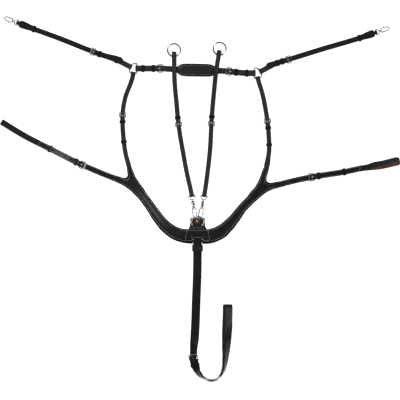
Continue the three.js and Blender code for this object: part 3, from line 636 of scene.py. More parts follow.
def keeper(shape, line, s, length, inside, bottom, top, wall=KEEPER_WALL, ridges=0.0):
    """A leather loop round a strap. inside is half its clear width, bottom and top its clear heights."""
    corner = 1.6
    half = inside - corner
    middle = (bottom + top) / 2
    tall = (top - bottom) / 2 - corner
    outline = []
    for aside, height, start in ((half, tall, 0), (-half, tall, 90), (-half, -tall, 180),
                                 (half, -tall, 270)):
        if start in (90, 270):
            sign = 1 if start == 90 else -1
            for k in range(1, 24):
                share = (1 - k / 12) * sign
                outline.append((half * share, sign * (tall + corner), 0, sign))
        for turn in (0, 30, 60, 90):
            a = math.radians(start + turn)
            outline.append((aside + corner * math.cos(a), height + corner * math.sin(a),
                            math.cos(a), math.sin(a)))
    here = line.frame(s)
    section = strap_section(length, wall)
    rings = []
    walked = [0.0]
    for i, (z, y, out_z, out_y) in enumerate(outline):
        ridge = ridges * (0.5 + 0.5 * math.cos(2 * math.pi * z / 3.6)) if out_y > 0.9 else 0.0
        rings.append([here.place(x, middle + y + out_y * t + (ridge if t > 0 else 0), z + out_z * t)
                      for x, t in ((x, level + wall / 2) for x, level, _ in section)])
        after = outline[(i + 1) % len(outline)]
        walked.append(walked[-1] + math.dist((z, y), after[:2]))
    shape.skin(rings, walked, [p[0] for p in section], True, [p[2] for p in section], FLESH_STRIPS)


def keepers(name, body, line, loops):
    """Keepers on one strap as one object, each given as keeper's values after the line."""
    shape = Shape()
    for loop in loops:
        keeper(shape, line, *loop)
    shape.build(name, body, [POLISHED, DARK_FLESH])


def rounded_corners(corners, cut, steps=5):
    """Points round a polygon of 3-D corners, each rounded by cutting off the given length."""
    points = []
    for i, corner in enumerate(corners):
        start = corner + (corners[i - 1] - corner).normalized() * cut
        end = corner + (corners[(i + 1) % len(corners)] - corner).normalized() * cut
        for k in range(steps + 1):
            t = k / steps
            points.append(start * (1 - t) ** 2 + corner * (2 * t * (1 - t)) + end * t * t)
    return points


def smooth_points(points, step):
    line = Line([tuple(p) for p in points])
    count = max(2, int(line.length / step))
    return [line.frame(line.length * k / count).point for k in range(count + 1)]


def cutter(line, at, start, end, half, bottom, top, rounded=True):
    """A cutting body through a strap: an oval hole or a slot, in a frame at one place on the line."""
    shape = Shape()
    here = line.frame(at)
    middle, long = (start + end) / 2, (end - start) / 2
    if rounded:
        ring = [(middle + long * math.cos(a), half * math.sin(a)) for a in turns(20)]
    else:
        ring = [(middle + long, half), (middle - long, half), (middle - long, -half), (middle + long, -half)]
    rings = [[here.place(x, y, z) for x, z in ring] for y in (bottom, top)]
    shape.skin(rings, [0, 1], [0] * len(ring))
    return shape


def cut(obj, cutters):
    """Takes cutting bodies out of an object's mesh; the cut faces take the near-black hole finish, a painted
    shade.
    """
    joined = Shape()
    for shape in cutters:
        first = len(joined.points)
        joined.points.extend(shape.points)
        joined.edges.extend(shape.edges)
        joined.faces.extend(tuple(first + i for i in face) for face in shape.faces)
        joined.uvs.extend(shape.uvs)
        joined.inside.extend(shape.inside)
    tool = joined.build(obj.name + "_cutter", "root", [PAINTED_HOLE_SHADE])
    modifier = obj.modifiers.new("cut", "BOOLEAN")
    modifier.operation = "DIFFERENCE"
    modifier.object = tool
    modifier.solver = "EXACT"
    modifier.use_self = True
    modifier.material_mode = "TRANSFER"
    bpy.context.view_layer.update()
    view = bpy.context.evaluated_depsgraph_get()
    mesh = bpy.data.meshes.new_from_object(obj.evaluated_get(view))
    obj.modifiers.clear()
    old = obj.data
    obj.data = mesh
    bpy.data.meshes.remove(old)
    mesh.name = obj.name
    mesh.set_sharp_from_angle(angle=math.radians(SHARP_ANGLE))
    bpy.data.objects.remove(tool)


# ---------- Buckles ----------


def billet_top(at, tip):
    keys = billet_keys(at, tip)
    return lambda s: at_keys(keys, s)[0] + LEATHER / 2 + 0.12


def buckle(name, line, at, width, length, body, tongue_body):
    """A wire frame hinged in the chape's fold, and the tongue that lies across its front bar."""
    here = line.frame(at)
    billet = at_keys(billet_keys(at, at + 40), at - length)[0]
    rise = billet + LEATHER / 2 + 2 * GAP + WIRE - STACK
    half = width / 2 + 1.2 + WIRE
    corners = [here.place(x, y, z) for x, y, z in (
        (0, STACK, half), (0, STACK, -half), (-length, STACK + rise, -half), (-length, STACK + rise, half))]
    # Painted shade: the frame takes the darkened steel, and only the roller keeps the bright steel.
    wire = Shape()
    wire.tube(rounded_corners(corners, 3.0), WIRE, closed=True)
    wire.build(f"{name}_buckle_frame", body, [PAINTED_SHADE_STEEL], [f"{name}_buckle"])
    roller = Shape()
    lathe(roller, Frame(here.place(-length, STACK + rise, 0), here.side),
          [(-half + 3.2, WIRE), (-half + 3.2, WIRE + 0.28), (half - 3.2, WIRE + 0.28), (half - 3.2, WIRE)])
    roller.build(f"{name}_buckle_roller", body, [STEEL])

    rest = rise + WIRE + GAP + TONGUE
    eye = arc((0, 0), WIRE + GAP + 0.85, 480, 190, 14)
    shank = [(-4.2, 3.9), (-6.2, rest - 0.9), (-9, rest + 0.1), (-length - 2.4, rest)]
    path = smooth_points([here.place(x, STACK + y, 0) for x, y in eye + shank], 0.8)
    # Painted shade: the tongue takes the darkened steel.
    pin = Shape()
    last = len(path) - 1
    radii = [TONGUE * (0.62 if i < last * 0.4 else 0.62 + 0.38 * ease((i - last * 0.4) / (last * 0.25)))
             for i in range(last + 1)]
    radii[-1] *= 0.6
    pin.tube(path, radii, facets=10)
    pin.build(f"{name}_buckle_tongue", tongue_body, [PAINTED_SHADE_STEEL], [f"{name}_tongue"])


def hole_cutters(line, at, holes, size=1.7):
    """Punched holes in a billet at distances on from the heel bar, and the one over the tongue."""
    cuts = [cutter(line, at, -9, -1.4, 1.9, STACK + 1, CREST + 6)]
    for step in holes:
        cuts.append(cutter(line, at + step, -size, size, size * 0.85, OVER - 0.6, OVER + 4))
    return cuts


def tongue_slot(line, at):
    """The slot in a chape's fold that the tongue turns in."""
    return cutter(line, at, -5, 5, 1.75, -1, STACK + FOLD + 2, rounded=False)


def chape_keeper(at, width):
    """The keeper stitched to a chape near its heel bar."""
    return at + 14, 9, width / 2 + 0.6, STACK - LEATHER - 0.2, OVER + 1.6


def loose_keeper(s, width, bottom=STACK - LEATHER - 0.2, top=OVER + 1.5):
    """A sliding keeper at a place on a strap."""
    return s, 8.5, width / 2 + 0.6, bottom, top


# ---------- Straps ----------


def strap(name, body, line, path, width, finish, replaces=(), inner=None,
          thick=LEATHER, closed=False, tip=0.0, aside=None, cuts=()):
    """Sweeps a strap along a path of (s, height) over a line, and takes the cuts out of it.

    width and aside may depend on s. inner is the finish of the underside.
    """
    count = len(path)
    walked = [0.0]
    for a, b in zip(path, path[1:] + path[:1]):
        walked.append(walked[-1] + math.dist(a, b))
    total = walked[count - 1]
    rings = []
    across = None
    for i, (s, height) in enumerate(path):
        ahead = path[(i + 1) % count] if closed or i < count - 1 else path[i]
        behind = path[i - 1] if closed or i else path[i]
        run, rise = ahead[0] - behind[0], ahead[1] - behind[1]
        size = math.hypot(run, rise)
        lean, lift = -rise / size, run / size
        wide = width(s) if callable(width) else width
        if tip:
            left = min(1.0, (total - walked[i]) / tip)
            wide *= 0.3 + 0.7 * math.sqrt(1 - (1 - left) ** 2)
        section = strap_section(wide, thick)
        across = across or [p[0] for p in section]
        here = line.frame(s)
        shift = aside(s) if aside else 0.0
        rings.append([here.place(y * lean, height + y * lift, z + shift) for z, y, _ in section])
    shape = Shape()
    edge = [p[2] for p in section]
    shape.skin(rings, walked, across, closed, edge, FLESH_STRIPS)
    obj = shape.build(name, body, [finish, inner] if inner else [finish], replaces)
    if cuts:
        cut(obj, cuts)


def chape_levels(at, end, keys, end_radius):
    """The middle height and half thickness of a chape between its heel bar and a ring at its end."""

    def middle(s):
        return at_keys([(at, STACK), *keys], s)[0]

    def half(s):
        return max(heel_pinch(s, at), pinch(max(0.0, end - s), end_radius))

    return middle, half


def heel_pinch(s, at):
    """Half the distance between a chape's layers where they close behind its heel bar."""
    return pinch(abs(s - at), WIRE + GAP + LEATHER / 2)


def ring_chape(name, line, at, width, keys, end_radius, body, replaces, loose=None, beyond=0.0):
    """A doubled strap between a buckle's heel bar and a ring, with its keepers.

    Its end loop runs on past the ring's wire by the distance beyond.
    """
    end = line.length
    middle, half = chape_levels(at, end, keys, end_radius)
    strap(name, body, line, doubled_path(at, end + beyond, middle, half), width, PAINTED_SHEEN_STRAP, replaces,
          DARK_FLESH, closed=True, cuts=[tongue_slot(line, at)])
    loops = [chape_keeper(at, width)]
    if loose:
        centre = middle(at + loose)
        top = OVER + 1.5 if loose < 41 else centre + LEATHER + 0.6
        loops.append(loose_keeper(at + loose, width, centre - LEATHER - 0.3, top))
    keepers(f"{name}_keepers", body, line, loops)
    stitching(f"{name}_stitching", body, BLACK_THREAD, side_rows(
        line, at + 4, end - 3, width, lambda s: middle(s) + half(s) + LEATHER / 2 + 0.1, 2.0))


def strap_places(side, part):
    """A strap's line, with the places on it of its heel bar and of its billet's tip."""
    line = Line(side[part])
    at = line.nearest(side[f"{part}_heel"])
    return line, at, at + side[f"{part}_tip"]


def folded_billet(at, tip, inner):
    """The path of a billet that starts with a stitched fold round a ring."""
    keys = [(20, 3 + LAYER), (32, LOW), *billet_keys(at, tip)]
    return folded_start(inner) + keys_path(keys, 20, tip)[1:]


def fold_rows(line):
    """Stitches that close a narrow strap's fold at its start."""
    return side_rows(line, 4, 19, NARROW, lambda s: 4.02 + LEATHER / 2 + pinch(s, 3.5) - LAYER + 0.1, 2.0)


def make_shoulder(side_name, side):
    name = f"{side_name}_shoulder"
    line, at, tip = strap_places(side, "shoulder")
    strap(f"{name}_billet", "root", line, folded_billet(at, tip, EYELET), NARROW, PAINTED_SHEEN_STRAP, [f"{name}_strap"],
          DARK_FLESH, tip=9, cuts=hole_cutters(line, at, (34, 54)))
    buckle(name, line, at, NARROW, 13, "root", f"{name}_tongue")

    middle, half = chape_levels(at, line.length, [(line.length, STACK)], LAYER)
    strap(f"{name}_chape", "root", line, doubled_path(at, line.length, middle, half), NARROW, PAINTED_SHEEN_STRAP,
          inner=DARK_FLESH, closed=True, cuts=[tongue_slot(line, at)])
    loops = [chape_keeper(at, NARROW), loose_keeper(at + side["shoulder_keeper"], NARROW)]
    keepers(f"{name}_keepers", "root", line, loops)
    rows = side_rows(line, tip + 8, line.length - 12, NARROW, lambda s: STACK + LEATHER + 0.15, 2.0)
    stitching(f"{name}_stitching", "root", BLACK_THREAD, fold_rows(line) + rows)


def make_side(side_name, side):
    name = f"{side_name}_side"
    line, at, tip = strap_places(side, "side")
    yoke_end = 4 + GAP + LEATHER / 2
    keys = [(0, yoke_end), (26, yoke_end), (44, LOW), *billet_keys(at, tip)]
    holes = (30, 50.5, 71, 91.5 if side["side_keeper"] > 95 else 112)
    strap(f"{name}_strap", "root", line, keys_path(keys, 0, tip), WIDE, POLISHED, [f"{name}_billet"],
          DARK_FLESH, tip=12, cuts=hole_cutters(line, at, holes, 2.4))
    buckle(name, line, at, WIDE, 15, "root", f"{name}_tongue")

    gap = side["side_gap"]
    split = max(tip + 6, line.length - 100)
    centre = STACK + GAP + gap / 2 - 2
    apart = (gap + LEATHER) / 2

    def middle(s):
        return at_keys([(at, STACK), (split, STACK), (split + 26, centre)], s)[0]

    def half(s):
        return max(heel_pinch(s, at), at_keys([(split, LAYER), (split + 26, apart)], s)[0])

    strap(f"{name}_girth_loop", "root", line, doubled_path(at, line.length, middle, half), WIDE, ELASTIC,
          [f"{name}_loop"], FLESH if gap > 10 else ELASTIC, closed=True,
          cuts=[tongue_slot(line, at)])
    loops = [chape_keeper(at, WIDE), loose_keeper(at + side["side_keeper"], WIDE)]
    keepers(f"{name}_keepers", "root", line, loops)
    yoke_top = [(a, h + LEATHER / 2 + 0.12) for a, h in keys]
    rows = side_rows(line, 4, at - 17, WIDE, lambda s: at_keys(yoke_top, s)[0])
    stitching(f"{name}_stitching", "root", THREAD,
              [tip_row(line, at + 4, tip, WIDE, billet_top(at, tip)), *rows])


def make_neck(side_name, side):
    name = f"{side_name}_neck"
    line, at, tip = strap_places(side, "neck")
    strap(f"{name}_billet", "root", line, keys_path([(0, LOW), *billet_keys(at, tip)], 0, tip), WIDE,
          PAINTED_SHEEN_STRAP, inner=DARK_FLESH, tip=11, cuts=hole_cutters(line, at, (24,)))
    buckle(name, line, at, WIDE, 15, "root", f"{name}_tongue")
    keys = [(line.length - 24, STACK), (line.length - EYELET - 0.8, HANG)]
    ring_chape(f"{name}_chape", line, at, WIDE, keys, EYELET + LEATHER / 2, "root",
               [f"{name}_strap"], loose=side["neck_keeper"])


def make_saddle(side_name, side):
    name = f"{side_name}_saddle"
    body = f"{name}_strap"
    line, at, tip = strap_places(side, "saddle")
    inner = EYE_WIRE + 0.6
    gather = [(3, GATHERED), (20, MEDIUM)]
    drift = [(at + 24, 0), (tip, 5.5 * side["sign"])]
    holes = (34, 52) if side["saddle_tip"] > 70 else (40,)
    strap(f"{name}_elastic_strap", body, line, folded_billet(at, tip, inner),
          lambda s: at_keys(gather, s)[0], ELASTIC, [f"{name}_elastic"], ELASTIC, tip=9,
          aside=lambda s: at_keys(drift, s)[0], cuts=hole_cutters(line, at, holes))
    buckle(name, line, at, MEDIUM, 13, body, f"{name}_tongue")
    keys = [(line.length - 24, STACK), (line.length - EYELET - 0.8, HANG)]
    ring_chape(f"{name}_chape", line, at, MEDIUM, keys, EYELET + LEATHER / 2, body,
               [f"{name}_strap"], loose=side["saddle_keeper"])

    widths = [(5.5, 17.0), (9, 21.5), (15, 23.0), (28, 21.0), (44, 17.4), (50, 16.6)]
    tops = [(5.5, 6.6), (20, 6.2), (32, 4.2), (50, 4.1)]
    strap(f"{name}_end_tab", body, line, [(s, at_keys(tops, s)[0]) for s in np.arange(5.5, 50.1, 1.5)],
          lambda s: at_keys(widths, s)[0], STRAP, inner=DARK_FLESH, thick=1.8)
    keepers(f"{name}_end_keeper", body, line, [(52, 8, MEDIUM / 2 + 1.2, 0.85 + KEEPER_WALL, 5.4)])
    rows = [[line.frame(s).place(0, at_keys(tops, s)[0] + 1, sign * (at_keys(widths, s)[0] / 2 - 2))
             for s in np.arange(7, 46, 1.5)] for sign in (-1, 1)]
    stitching(f"{name}_end_stitching", body, BLACK_THREAD, rows)

    bar = line.frame(0)
    eye_bar = Vector((bar.point.x, bar.point.y, inner + LEATHER + GAP))
    snap(f"{name}_snap", eye_bar, -bar.tangent, SADDLE_SNAP)


def make_fork(side_name, side):
    name = f"{side_name}_fork"
    body = f"{name}_strap"
    line, at, tip = strap_places(side, "fork")
    inner = EYE_WIRE + 0.9
    strap(f"{name}_billet", body, line, folded_billet(at, tip, inner), NARROW, PAINTED_SHEEN_STRAP, [f"{name}_lower_strap"],
          DARK_FLESH, tip=9, cuts=hole_cutters(line, at, (40, 59)))
    buckle(name, line, at, NARROW, 13, body, f"{name}_tongue")

    end = line.length
    keys = [(end - 84, STACK), (end - 60, CROSSING), (end - 24, CROSSING),
            (end - FORK_EYELET - 0.8, FORK_HANG)]
    ring_chape(f"{name}_chape", line, at, NARROW, keys, FORK_EYELET + LEATHER / 2, body,
               [f"{name}_upper_strap"], beyond=FORK_LOOP)
    stitching(f"{name}_end_stitching", body, BLACK_THREAD, fold_rows(line))

    last = line.frame(end)
    middle = last.point + last.tangent * (FORK_RING - FORK_SAG)
    ring = Shape()
    circle = [Vector((middle.x + x, middle.y + y, FORK_HANG))
              for x, y in arc((0, 0), FORK_RING, 0, 352.5, 47)]
    ring.tube(circle, RING_WIRE, closed=True, facets=16)
    ring.build(f"{name}_rein_ring", f"{name}_ring", [STEEL], [f"{name}_ring"])

    x, y = side["hook_wire"]
    slope = math.tan(math.radians(CENTRE_DEE["tilt"]))
    wire = Vector((x, y, CENTRE_DEE["height"] + (y - CENTRE_DEE["bar"]) * slope))
    start = line.frame(0).point + Vector((0, 0, inner + LEATHER + GAP))
    snap(f"{name}_snap", start, (wire - start).normalized(), FORK_SNAP)


def make_dee(name, place, sign):
    """A D ring with a straight bar for the neck strap and an edge for each other strap."""
    outward = [(0, 16), (0, -16), (21, -12), (23.5, -3.5), (14.5, 13.5)]
    corners = [Vector((place[0] + sign * out, place[1] + along, HANG)) for out, along in outward]
    wire = Shape()
    wire.tube(rounded_corners(corners, 3.2), DEE_WIRE, closed=True, facets=14)
    wire.build(f"{name}_wire", "root", [STEEL], [name])


# ---------- Snap hooks ----------


def lathe(shape, here, profile, facets=18):
    """A turned piece along a frame's own x, from points (along, radius)."""
    rings = [[here.place(x, radius * math.cos(a), radius * math.sin(a)) for a in turns(facets)]
             for x, radius in profile]
    shape.skin(rings, [0.0] * (len(profile) + 1), [0.0] * facets)


def snap(name, bar, aim, size):
    """A swivel eye, a cast hook with its collar and a sprung trigger with a knob."""
    eye, neck, reach, leg, wire, half, roll = size.values()
    flat = Frame(bar, aim)
    rolled = Frame(bar, aim, roll)
    plate = eye + 2.6
    shoulder = 0.42 * eye

    corners = [flat.place(x, 0, z) for x, z in (
        (0, half), (0, -half), (shoulder, -half), (eye - 3.6, -2.6), (eye - 3.6, 2.6), (shoulder, half))]
    swivel = Shape()
    swivel.tube(rounded_corners(corners, 2.4), EYE_WIRE, closed=True)
    post = [(eye - 5, 1.3), (eye - 4, 2.1), (eye - 2.2, 2.1), (eye - 1.4, 1.45), (plate + 0.4, 1.45),
            (plate + 0.5, 2.3), (plate + 1.7, 2.3), (plate + 2.1, 1.2)]
    lathe(swivel, flat, post)
    swivel.build(f"{name}_swivel_eye", f"{name}_eye", [STEEL], [f"{name}_eye"])

    end = eye + reach
    bow = [(end + leg * math.cos(a), leg * math.sin(a)) for a in
           (math.pi / 2 - k * math.pi / 12 for k in range(13))]
    spread = eye + neck
    inset = 4.3 if neck else 3.0
    stem = [(spread - 1, inset)] if neck else []
    back = [(eye + 1.3, inset), *stem, (spread + 4.5, leg - 0.2), (spread + 9, leg), (end - 6, leg)]
    path = smooth_points([rolled.place(x, 0, z) for x, z in back + bow + [(end - 6.2, -leg)]], 1.0)
    last = len(path) - 1
    radii = [wire * (1.18 - 0.12 * i / last) for i in range(last + 1)]
    radii[-1] = wire * 0.8
    hook = Shape()
    hook.tube(path, radii, facets=12)
    stub = [(eye + 1.3, -inset), *((x, -z) for x, z in stem), (spread + 4.5, -leg + 0.2), (spread + 8, -leg)]
    hook.tube(smooth_points([rolled.place(x, 0, z) for x, z in stub], 1.0), wire * 1.15, facets=12)
    if neck:
        core = [(plate + 2.6, 1.2), (plate + 3.4, 2.9), (spread - 6, 3.1), (spread - 1, 3.0),
                (spread + 1.5, 1.4)]
        lathe(hook, rolled, core)
    collar = [(eye, 1.85), (eye, 4.0), (eye + 0.5, 4.5), (plate - 0.4, 4.5), (plate, 4.0), (plate, 1.85)]
    rings = [[rolled.place(x, r * math.cos(a), r * math.sin(a)) for x, r in collar] for a in turns(20)]
    hook.skin(rings, [0.0] * 21, [0.0] * len(collar), closed=True)
    hook.build(f"{name}_body", f"{name}_hook", [STEEL], [f"{name}_hook"])

    hinge = spread + 9.2
    far = end - 6.5
    gate = Shape()
    bar_profile = [(hinge - 0.6, 1.1), (hinge, wire - 0.1), (far - 0.6, wire - 0.1), (far, 1.0)]
    gate_frame = Frame(rolled.place(0, 0, -leg), aim, roll)
    lathe(gate, gate_frame, bar_profile, 12)
    knob_at = hinge + (far - hinge) * 0.6
    knob = [(-0.3, 1.2), (1.6, 1.2), (1.9, 2.0), (3.4, 2.25), (4.2, 1.7), (4.6, 0.6)]
    rings = [[rolled.place(knob_at + r * math.cos(a), r * math.sin(a), -leg - z) for a in turns(14)]
             for z, r in knob]
    gate.skin(rings, [0.0] * (len(knob) + 1), [0.0] * 14)
    gate.build(f"{name}_gate", f"{name}_trigger", [STEEL], [f"{name}_trigger"])


# ---------- Padded panels ----------

# Distances in from a panel's edge, in rim widths, at which its mesh has a row of points.
RIM_LEVELS = (0.03, 0.12, 0.3, 0.55, 0.8, 0.92, 1.0, 1.08, 1.25, 1.6, 2.1)
EDGE_DEPTH = 1e-4


def sampled(points):
    """A centre line every 2 mm: places, directions, half widths and thicknesses."""
    line = Line([(x, y) for x, y, _, _ in points])
    knots = [(line.lengths[i * Line.STEPS], w / 2, t) for i, (_, _, w, t) in enumerate(points)]
    rows = []
    for s in np.linspace(0, line.length, int(line.length / 2) + 1):
        here = line.frame(s)
        rows.append((*here.point.xy, *here.tangent.xy, *at_keys(knots, s)))
    return np.array(rows)


class Field:
    """Over a grid: the distance outside the panel, its thickness and the width of its rim."""

    def __init__(self, strips, inner_rim, outer_rim, notch=None, cell=2.0):
        rows = np.vstack(strips)
        low, high = rows[:, :2].min(0) - 32, rows[:, :2].max(0) + 32
        self.xs = np.arange(low[0], high[0], cell)
        self.ys = np.arange(low[1], high[1], cell)
        x, y = np.meshgrid(self.xs, self.ys, indexing="ij")
        distance = thick = rim = None
        for strip in strips:
            dx = x[..., None] - strip[:, 0]
            dy = y[..., None] - strip[:, 1]
            apart = np.hypot(dx, dy) - strip[:, 4]
            nearest = apart.argmin(-1)
            near = apart.min(-1)
            at = strip[nearest]
            away = at[..., 2] * (y - at[..., 1]) - at[..., 3] * (x - at[..., 0])
            widest = np.where(away < 0, outer_rim, inner_rim)
            edge = np.minimum(widest, 0.36 * at[..., 4])
            if distance is None:
                distance, thick, rim = near, at[..., 5], edge
                continue
            share = np.clip(0.5 + 0.5 * (distance - near) / YOKE_FILLET, 0, 1)
            distance = distance * (1 - share) + near * share - YOKE_FILLET * share * (1 - share)
            thick = thick * (1 - share) + at[..., 5] * share
            rim = rim * (1 - share) + np.minimum(outer_rim, 0.36 * at[..., 4]) * share
        for _ in range(3):
            rim = smoothed(rim)
            thick = smoothed(thick)
        self.level = distance / rim
        if notch:
            half, top = notch
            self.level = np.maximum(self.level, -np.maximum(abs(x) - half, y - top) / 1.5)
        self.thick = thick
        self.cell = cell

    def thickness(self, x, y):
        i = min(max((x - self.xs[0]) / self.cell, 0), len(self.xs) - 1.001)
        j = min(max((y - self.ys[0]) / self.cell, 0), len(self.ys) - 1.001)
        a, b = int(i), int(j)
        u, v = i - a, j - b
        grid = self.thick
        return ((grid[a, b] * (1 - u) + grid[a + 1, b] * u) * (1 - v)
                + (grid[a, b + 1] * (1 - u) + grid[a + 1, b + 1] * u) * v)


def smoothed(grid):
    """Each cell's mean with its four neighbours, the cell itself counted twice."""
    wide = np.pad(grid, 1, mode="edge")
    return (wide[1:-1, 1:-1] * 2 + wide[:-2, 1:-1] + wide[2:, 1:-1] + wide[1:-1, :-2] + wide[1:-1, 2:]) / 6


def panel_top(depth, thick):
    """Height of a panel's top, depth rim widths in from its edge: a roll, a seam and the padding."""
    if depth < 0.55:
        return thick * (0.40 + 0.47 * math.sqrt(max(0.0, 1 - (1 - depth / 0.55) ** 2)))
    if depth < 1:
        return thick * (0.87 - 0.09 * ease((depth - 0.55) / 0.45))
    return thick * (0.78 + 0.22 * math.sin(math.pi / 2 * min(1.0, (depth - 1) / 1.6)) ** 0.8)


def panel_bottom(depth, thick):
    """Height of a panel's underside, which is flat but for its rolled edge."""
    return thick * (0.40 - 0.36 * math.sqrt(max(0.0, 1 - (1 - min(1.0, depth / 0.5)) ** 2)))


def chains(pairs):
    """Rows of points that are joined end to end, from pairs of joined points."""
    joined = {}
    for a, b in pairs:
        joined.setdefault(a, []).append(b)
        joined.setdefault(b, []).append(a)
    rows = []
    while joined:
        here = next(iter(joined))
        row = [here]
        while joined.get(here):
            after = joined[here].pop()
            joined[after].remove(here)
            row.append(after)
            here = after
        for point in row:
            if not joined.get(point):
                joined.pop(point, None)
        rows.append(row)
    return rows


def panel(name, field, finish, node):
    """A padded panel with a rolled rim, and the stitches along its seam."""
    work = bmesh.new()
    grid = {}
    for i, j in zip(*np.nonzero(field.level < 0.9)):
        grid[i, j] = work.verts.new((field.xs[i], field.ys[j], field.level[i, j]))
    for i, j in grid:
        corners = [grid.get(c) for c in ((i, j), (i + 1, j), (i + 1, j + 1), (i, j + 1))]
        if all(corners):
            work.faces.new(corners)
    for level in (0.0, *RIM_LEVELS):
        geometry = work.verts[:] + work.edges[:] + work.faces[:]
        bmesh.ops.bisect_plane(work, geom=geometry, dist=1e-5, plane_co=(0, 0, -level),
                               plane_no=(0, 0, 1), clear_outer=level == 0)
    loose = [v for v in work.verts if not v.link_faces]
    bmesh.ops.delete(work, geom=loose, context="VERTS")
    work.verts.index_update()
    depths = [max(0.0, -v.co.z) for v in work.verts]
    tops, lows = [], []
    for v, depth in zip(work.verts, depths):
        thick = field.thickness(v.co.x, v.co.y)
        tops.append(Vector((v.co.x, v.co.y, panel_top(depth, thick))))
        low = Vector((v.co.x, v.co.y, panel_bottom(depth, thick)))
        lows.append(low if depth >= EDGE_DEPTH else tops[-1])
    edges = [tuple(v.index for v in e.verts) for e in work.edges]
    faces = [tuple(v.index for v in f.verts) for f in work.faces]
    work.free()
    seam = [pair for pair in edges if all(abs(depths[i] - 1) < EDGE_DEPTH for i in pair)]
    in_rim = [all(depths[i] < 1 + EDGE_DEPTH for i in face) for face in faces]
    faces += [tuple(len(tops) + i for i in reversed(face)) for face in faces]
    mesh = bpy.data.meshes.new(f"{name}_panel")
    mesh.from_pydata([p * MM for p in tops + lows], [], faces)
    mesh.materials.append(finish)
    mesh.materials.append(RIM)
    mesh.polygons.foreach_set("material_index", [int(x) for x in in_rim * 2])
    work = bmesh.new()
    work.from_mesh(mesh)
    bmesh.ops.remove_doubles(work, verts=work.verts, dist=0.02 * MM)
    work.to_mesh(mesh)
    work.free()
    tidy_mesh(mesh, 80)
    rows = [[tops[i] + Vector((0, 0, 0.15)) for i in row] for row in chains(seam) if len(row) > 12]
    finish_object(bpy.data.objects.new(f"{name}_panel", mesh), "root", [node])
    stitching(f"{name}_stitching", "root", THREAD, rows)


def make_yoke():
    strips = [sampled(points) for points in (YOKE_ARCH, *YOKE_BRANCHES)]
    field = Field(strips, 4.2, 6.6, notch=(NOTCH_HALF - 0.9, NOTCH_TOP))
    panel("yoke", field, YOKE, "breast_yoke")
    rim = Shape()
    rim.tube([Vector((x, RIM_Y, RIM_Z)) for x in (-17, -16, 0, 16, 17)],
             [2.6, RIM_RADIUS, RIM_RADIUS, RIM_RADIUS, 2.6], facets=18)
    rim.build("yoke_rim", "root", [POLISHED])
    # The welt sewn along the top of the notch closes the gap above the girth strap's fold.
    welt = Shape()
    half, y = NOTCH_HALF - 1, NOTCH_TOP - 0.6
    welt.tube([Vector((x, y, RIM_Z)) for x in (-half, -half / 2, 0, half / 2, half)], 0.65)
    welt.build("notch_welt", "root", [POLISHED])


def make_wither_pad():
    turn = math.radians(WITHER_PAD_TURN)
    points = [(x * math.cos(turn), WITHER_PAD_Y + x * math.sin(turn), width, WITHER_PAD_THICK)
              for x, width in WITHER_PAD]
    panel("wither_pad", Field([sampled(points)], 5.2, 5.2, cell=1.5), PAD, "wither_pad")


# ---------- Centre shield and ring ----------


def plate(shape, outline, bottom, top, edge=0.7):
    """A flat leather piece with rounded edges from the points of its outline, in order."""
    count = len(outline)
    middle = sum((Vector(p) for p in outline), Vector((0, 0))) / count
    rings = []
    for inset, height in ((edge, bottom), (edge * 0.3, bottom + edge * 0.3), (0, bottom + edge),
                          (0, top - edge), (edge * 0.3, top - edge * 0.3), (edge, top)):
        ring = []
        for i, p in enumerate(outline):
            ahead = Vector(outline[(i + 1) % count])
            behind = Vector(outline[i - 1])
            run = (ahead - behind).normalized()
            inward = Vector((-run.y, run.x))
            if inward.dot(middle - Vector(p)) < 0:
                inward.negate()
            place = Vector(p) + inward * inset
            ring.append(Vector((place.x, place.y, height)))
        rings.append(ring)
    shape.skin(rings, [0.0] * 7, [p[0] for p in outline])


def rounded_outline(corners, cut):
    """A 2-D polygon with rounded corners, and points no more than 3 mm apart."""
    points = rounded_corners([Vector((x, y, 0)) for x, y in corners], cut, 4)
    outline = []
    for a, b in zip(points, points[1:] + points[:1]):
        pieces = max(1, int((b - a).length / 3))
        outline.extend((a.x + (b.x - a.x) * k / pieces, a.y + (b.y - a.y) * k / pieces)
                       for k in range(pieces))
    return outline


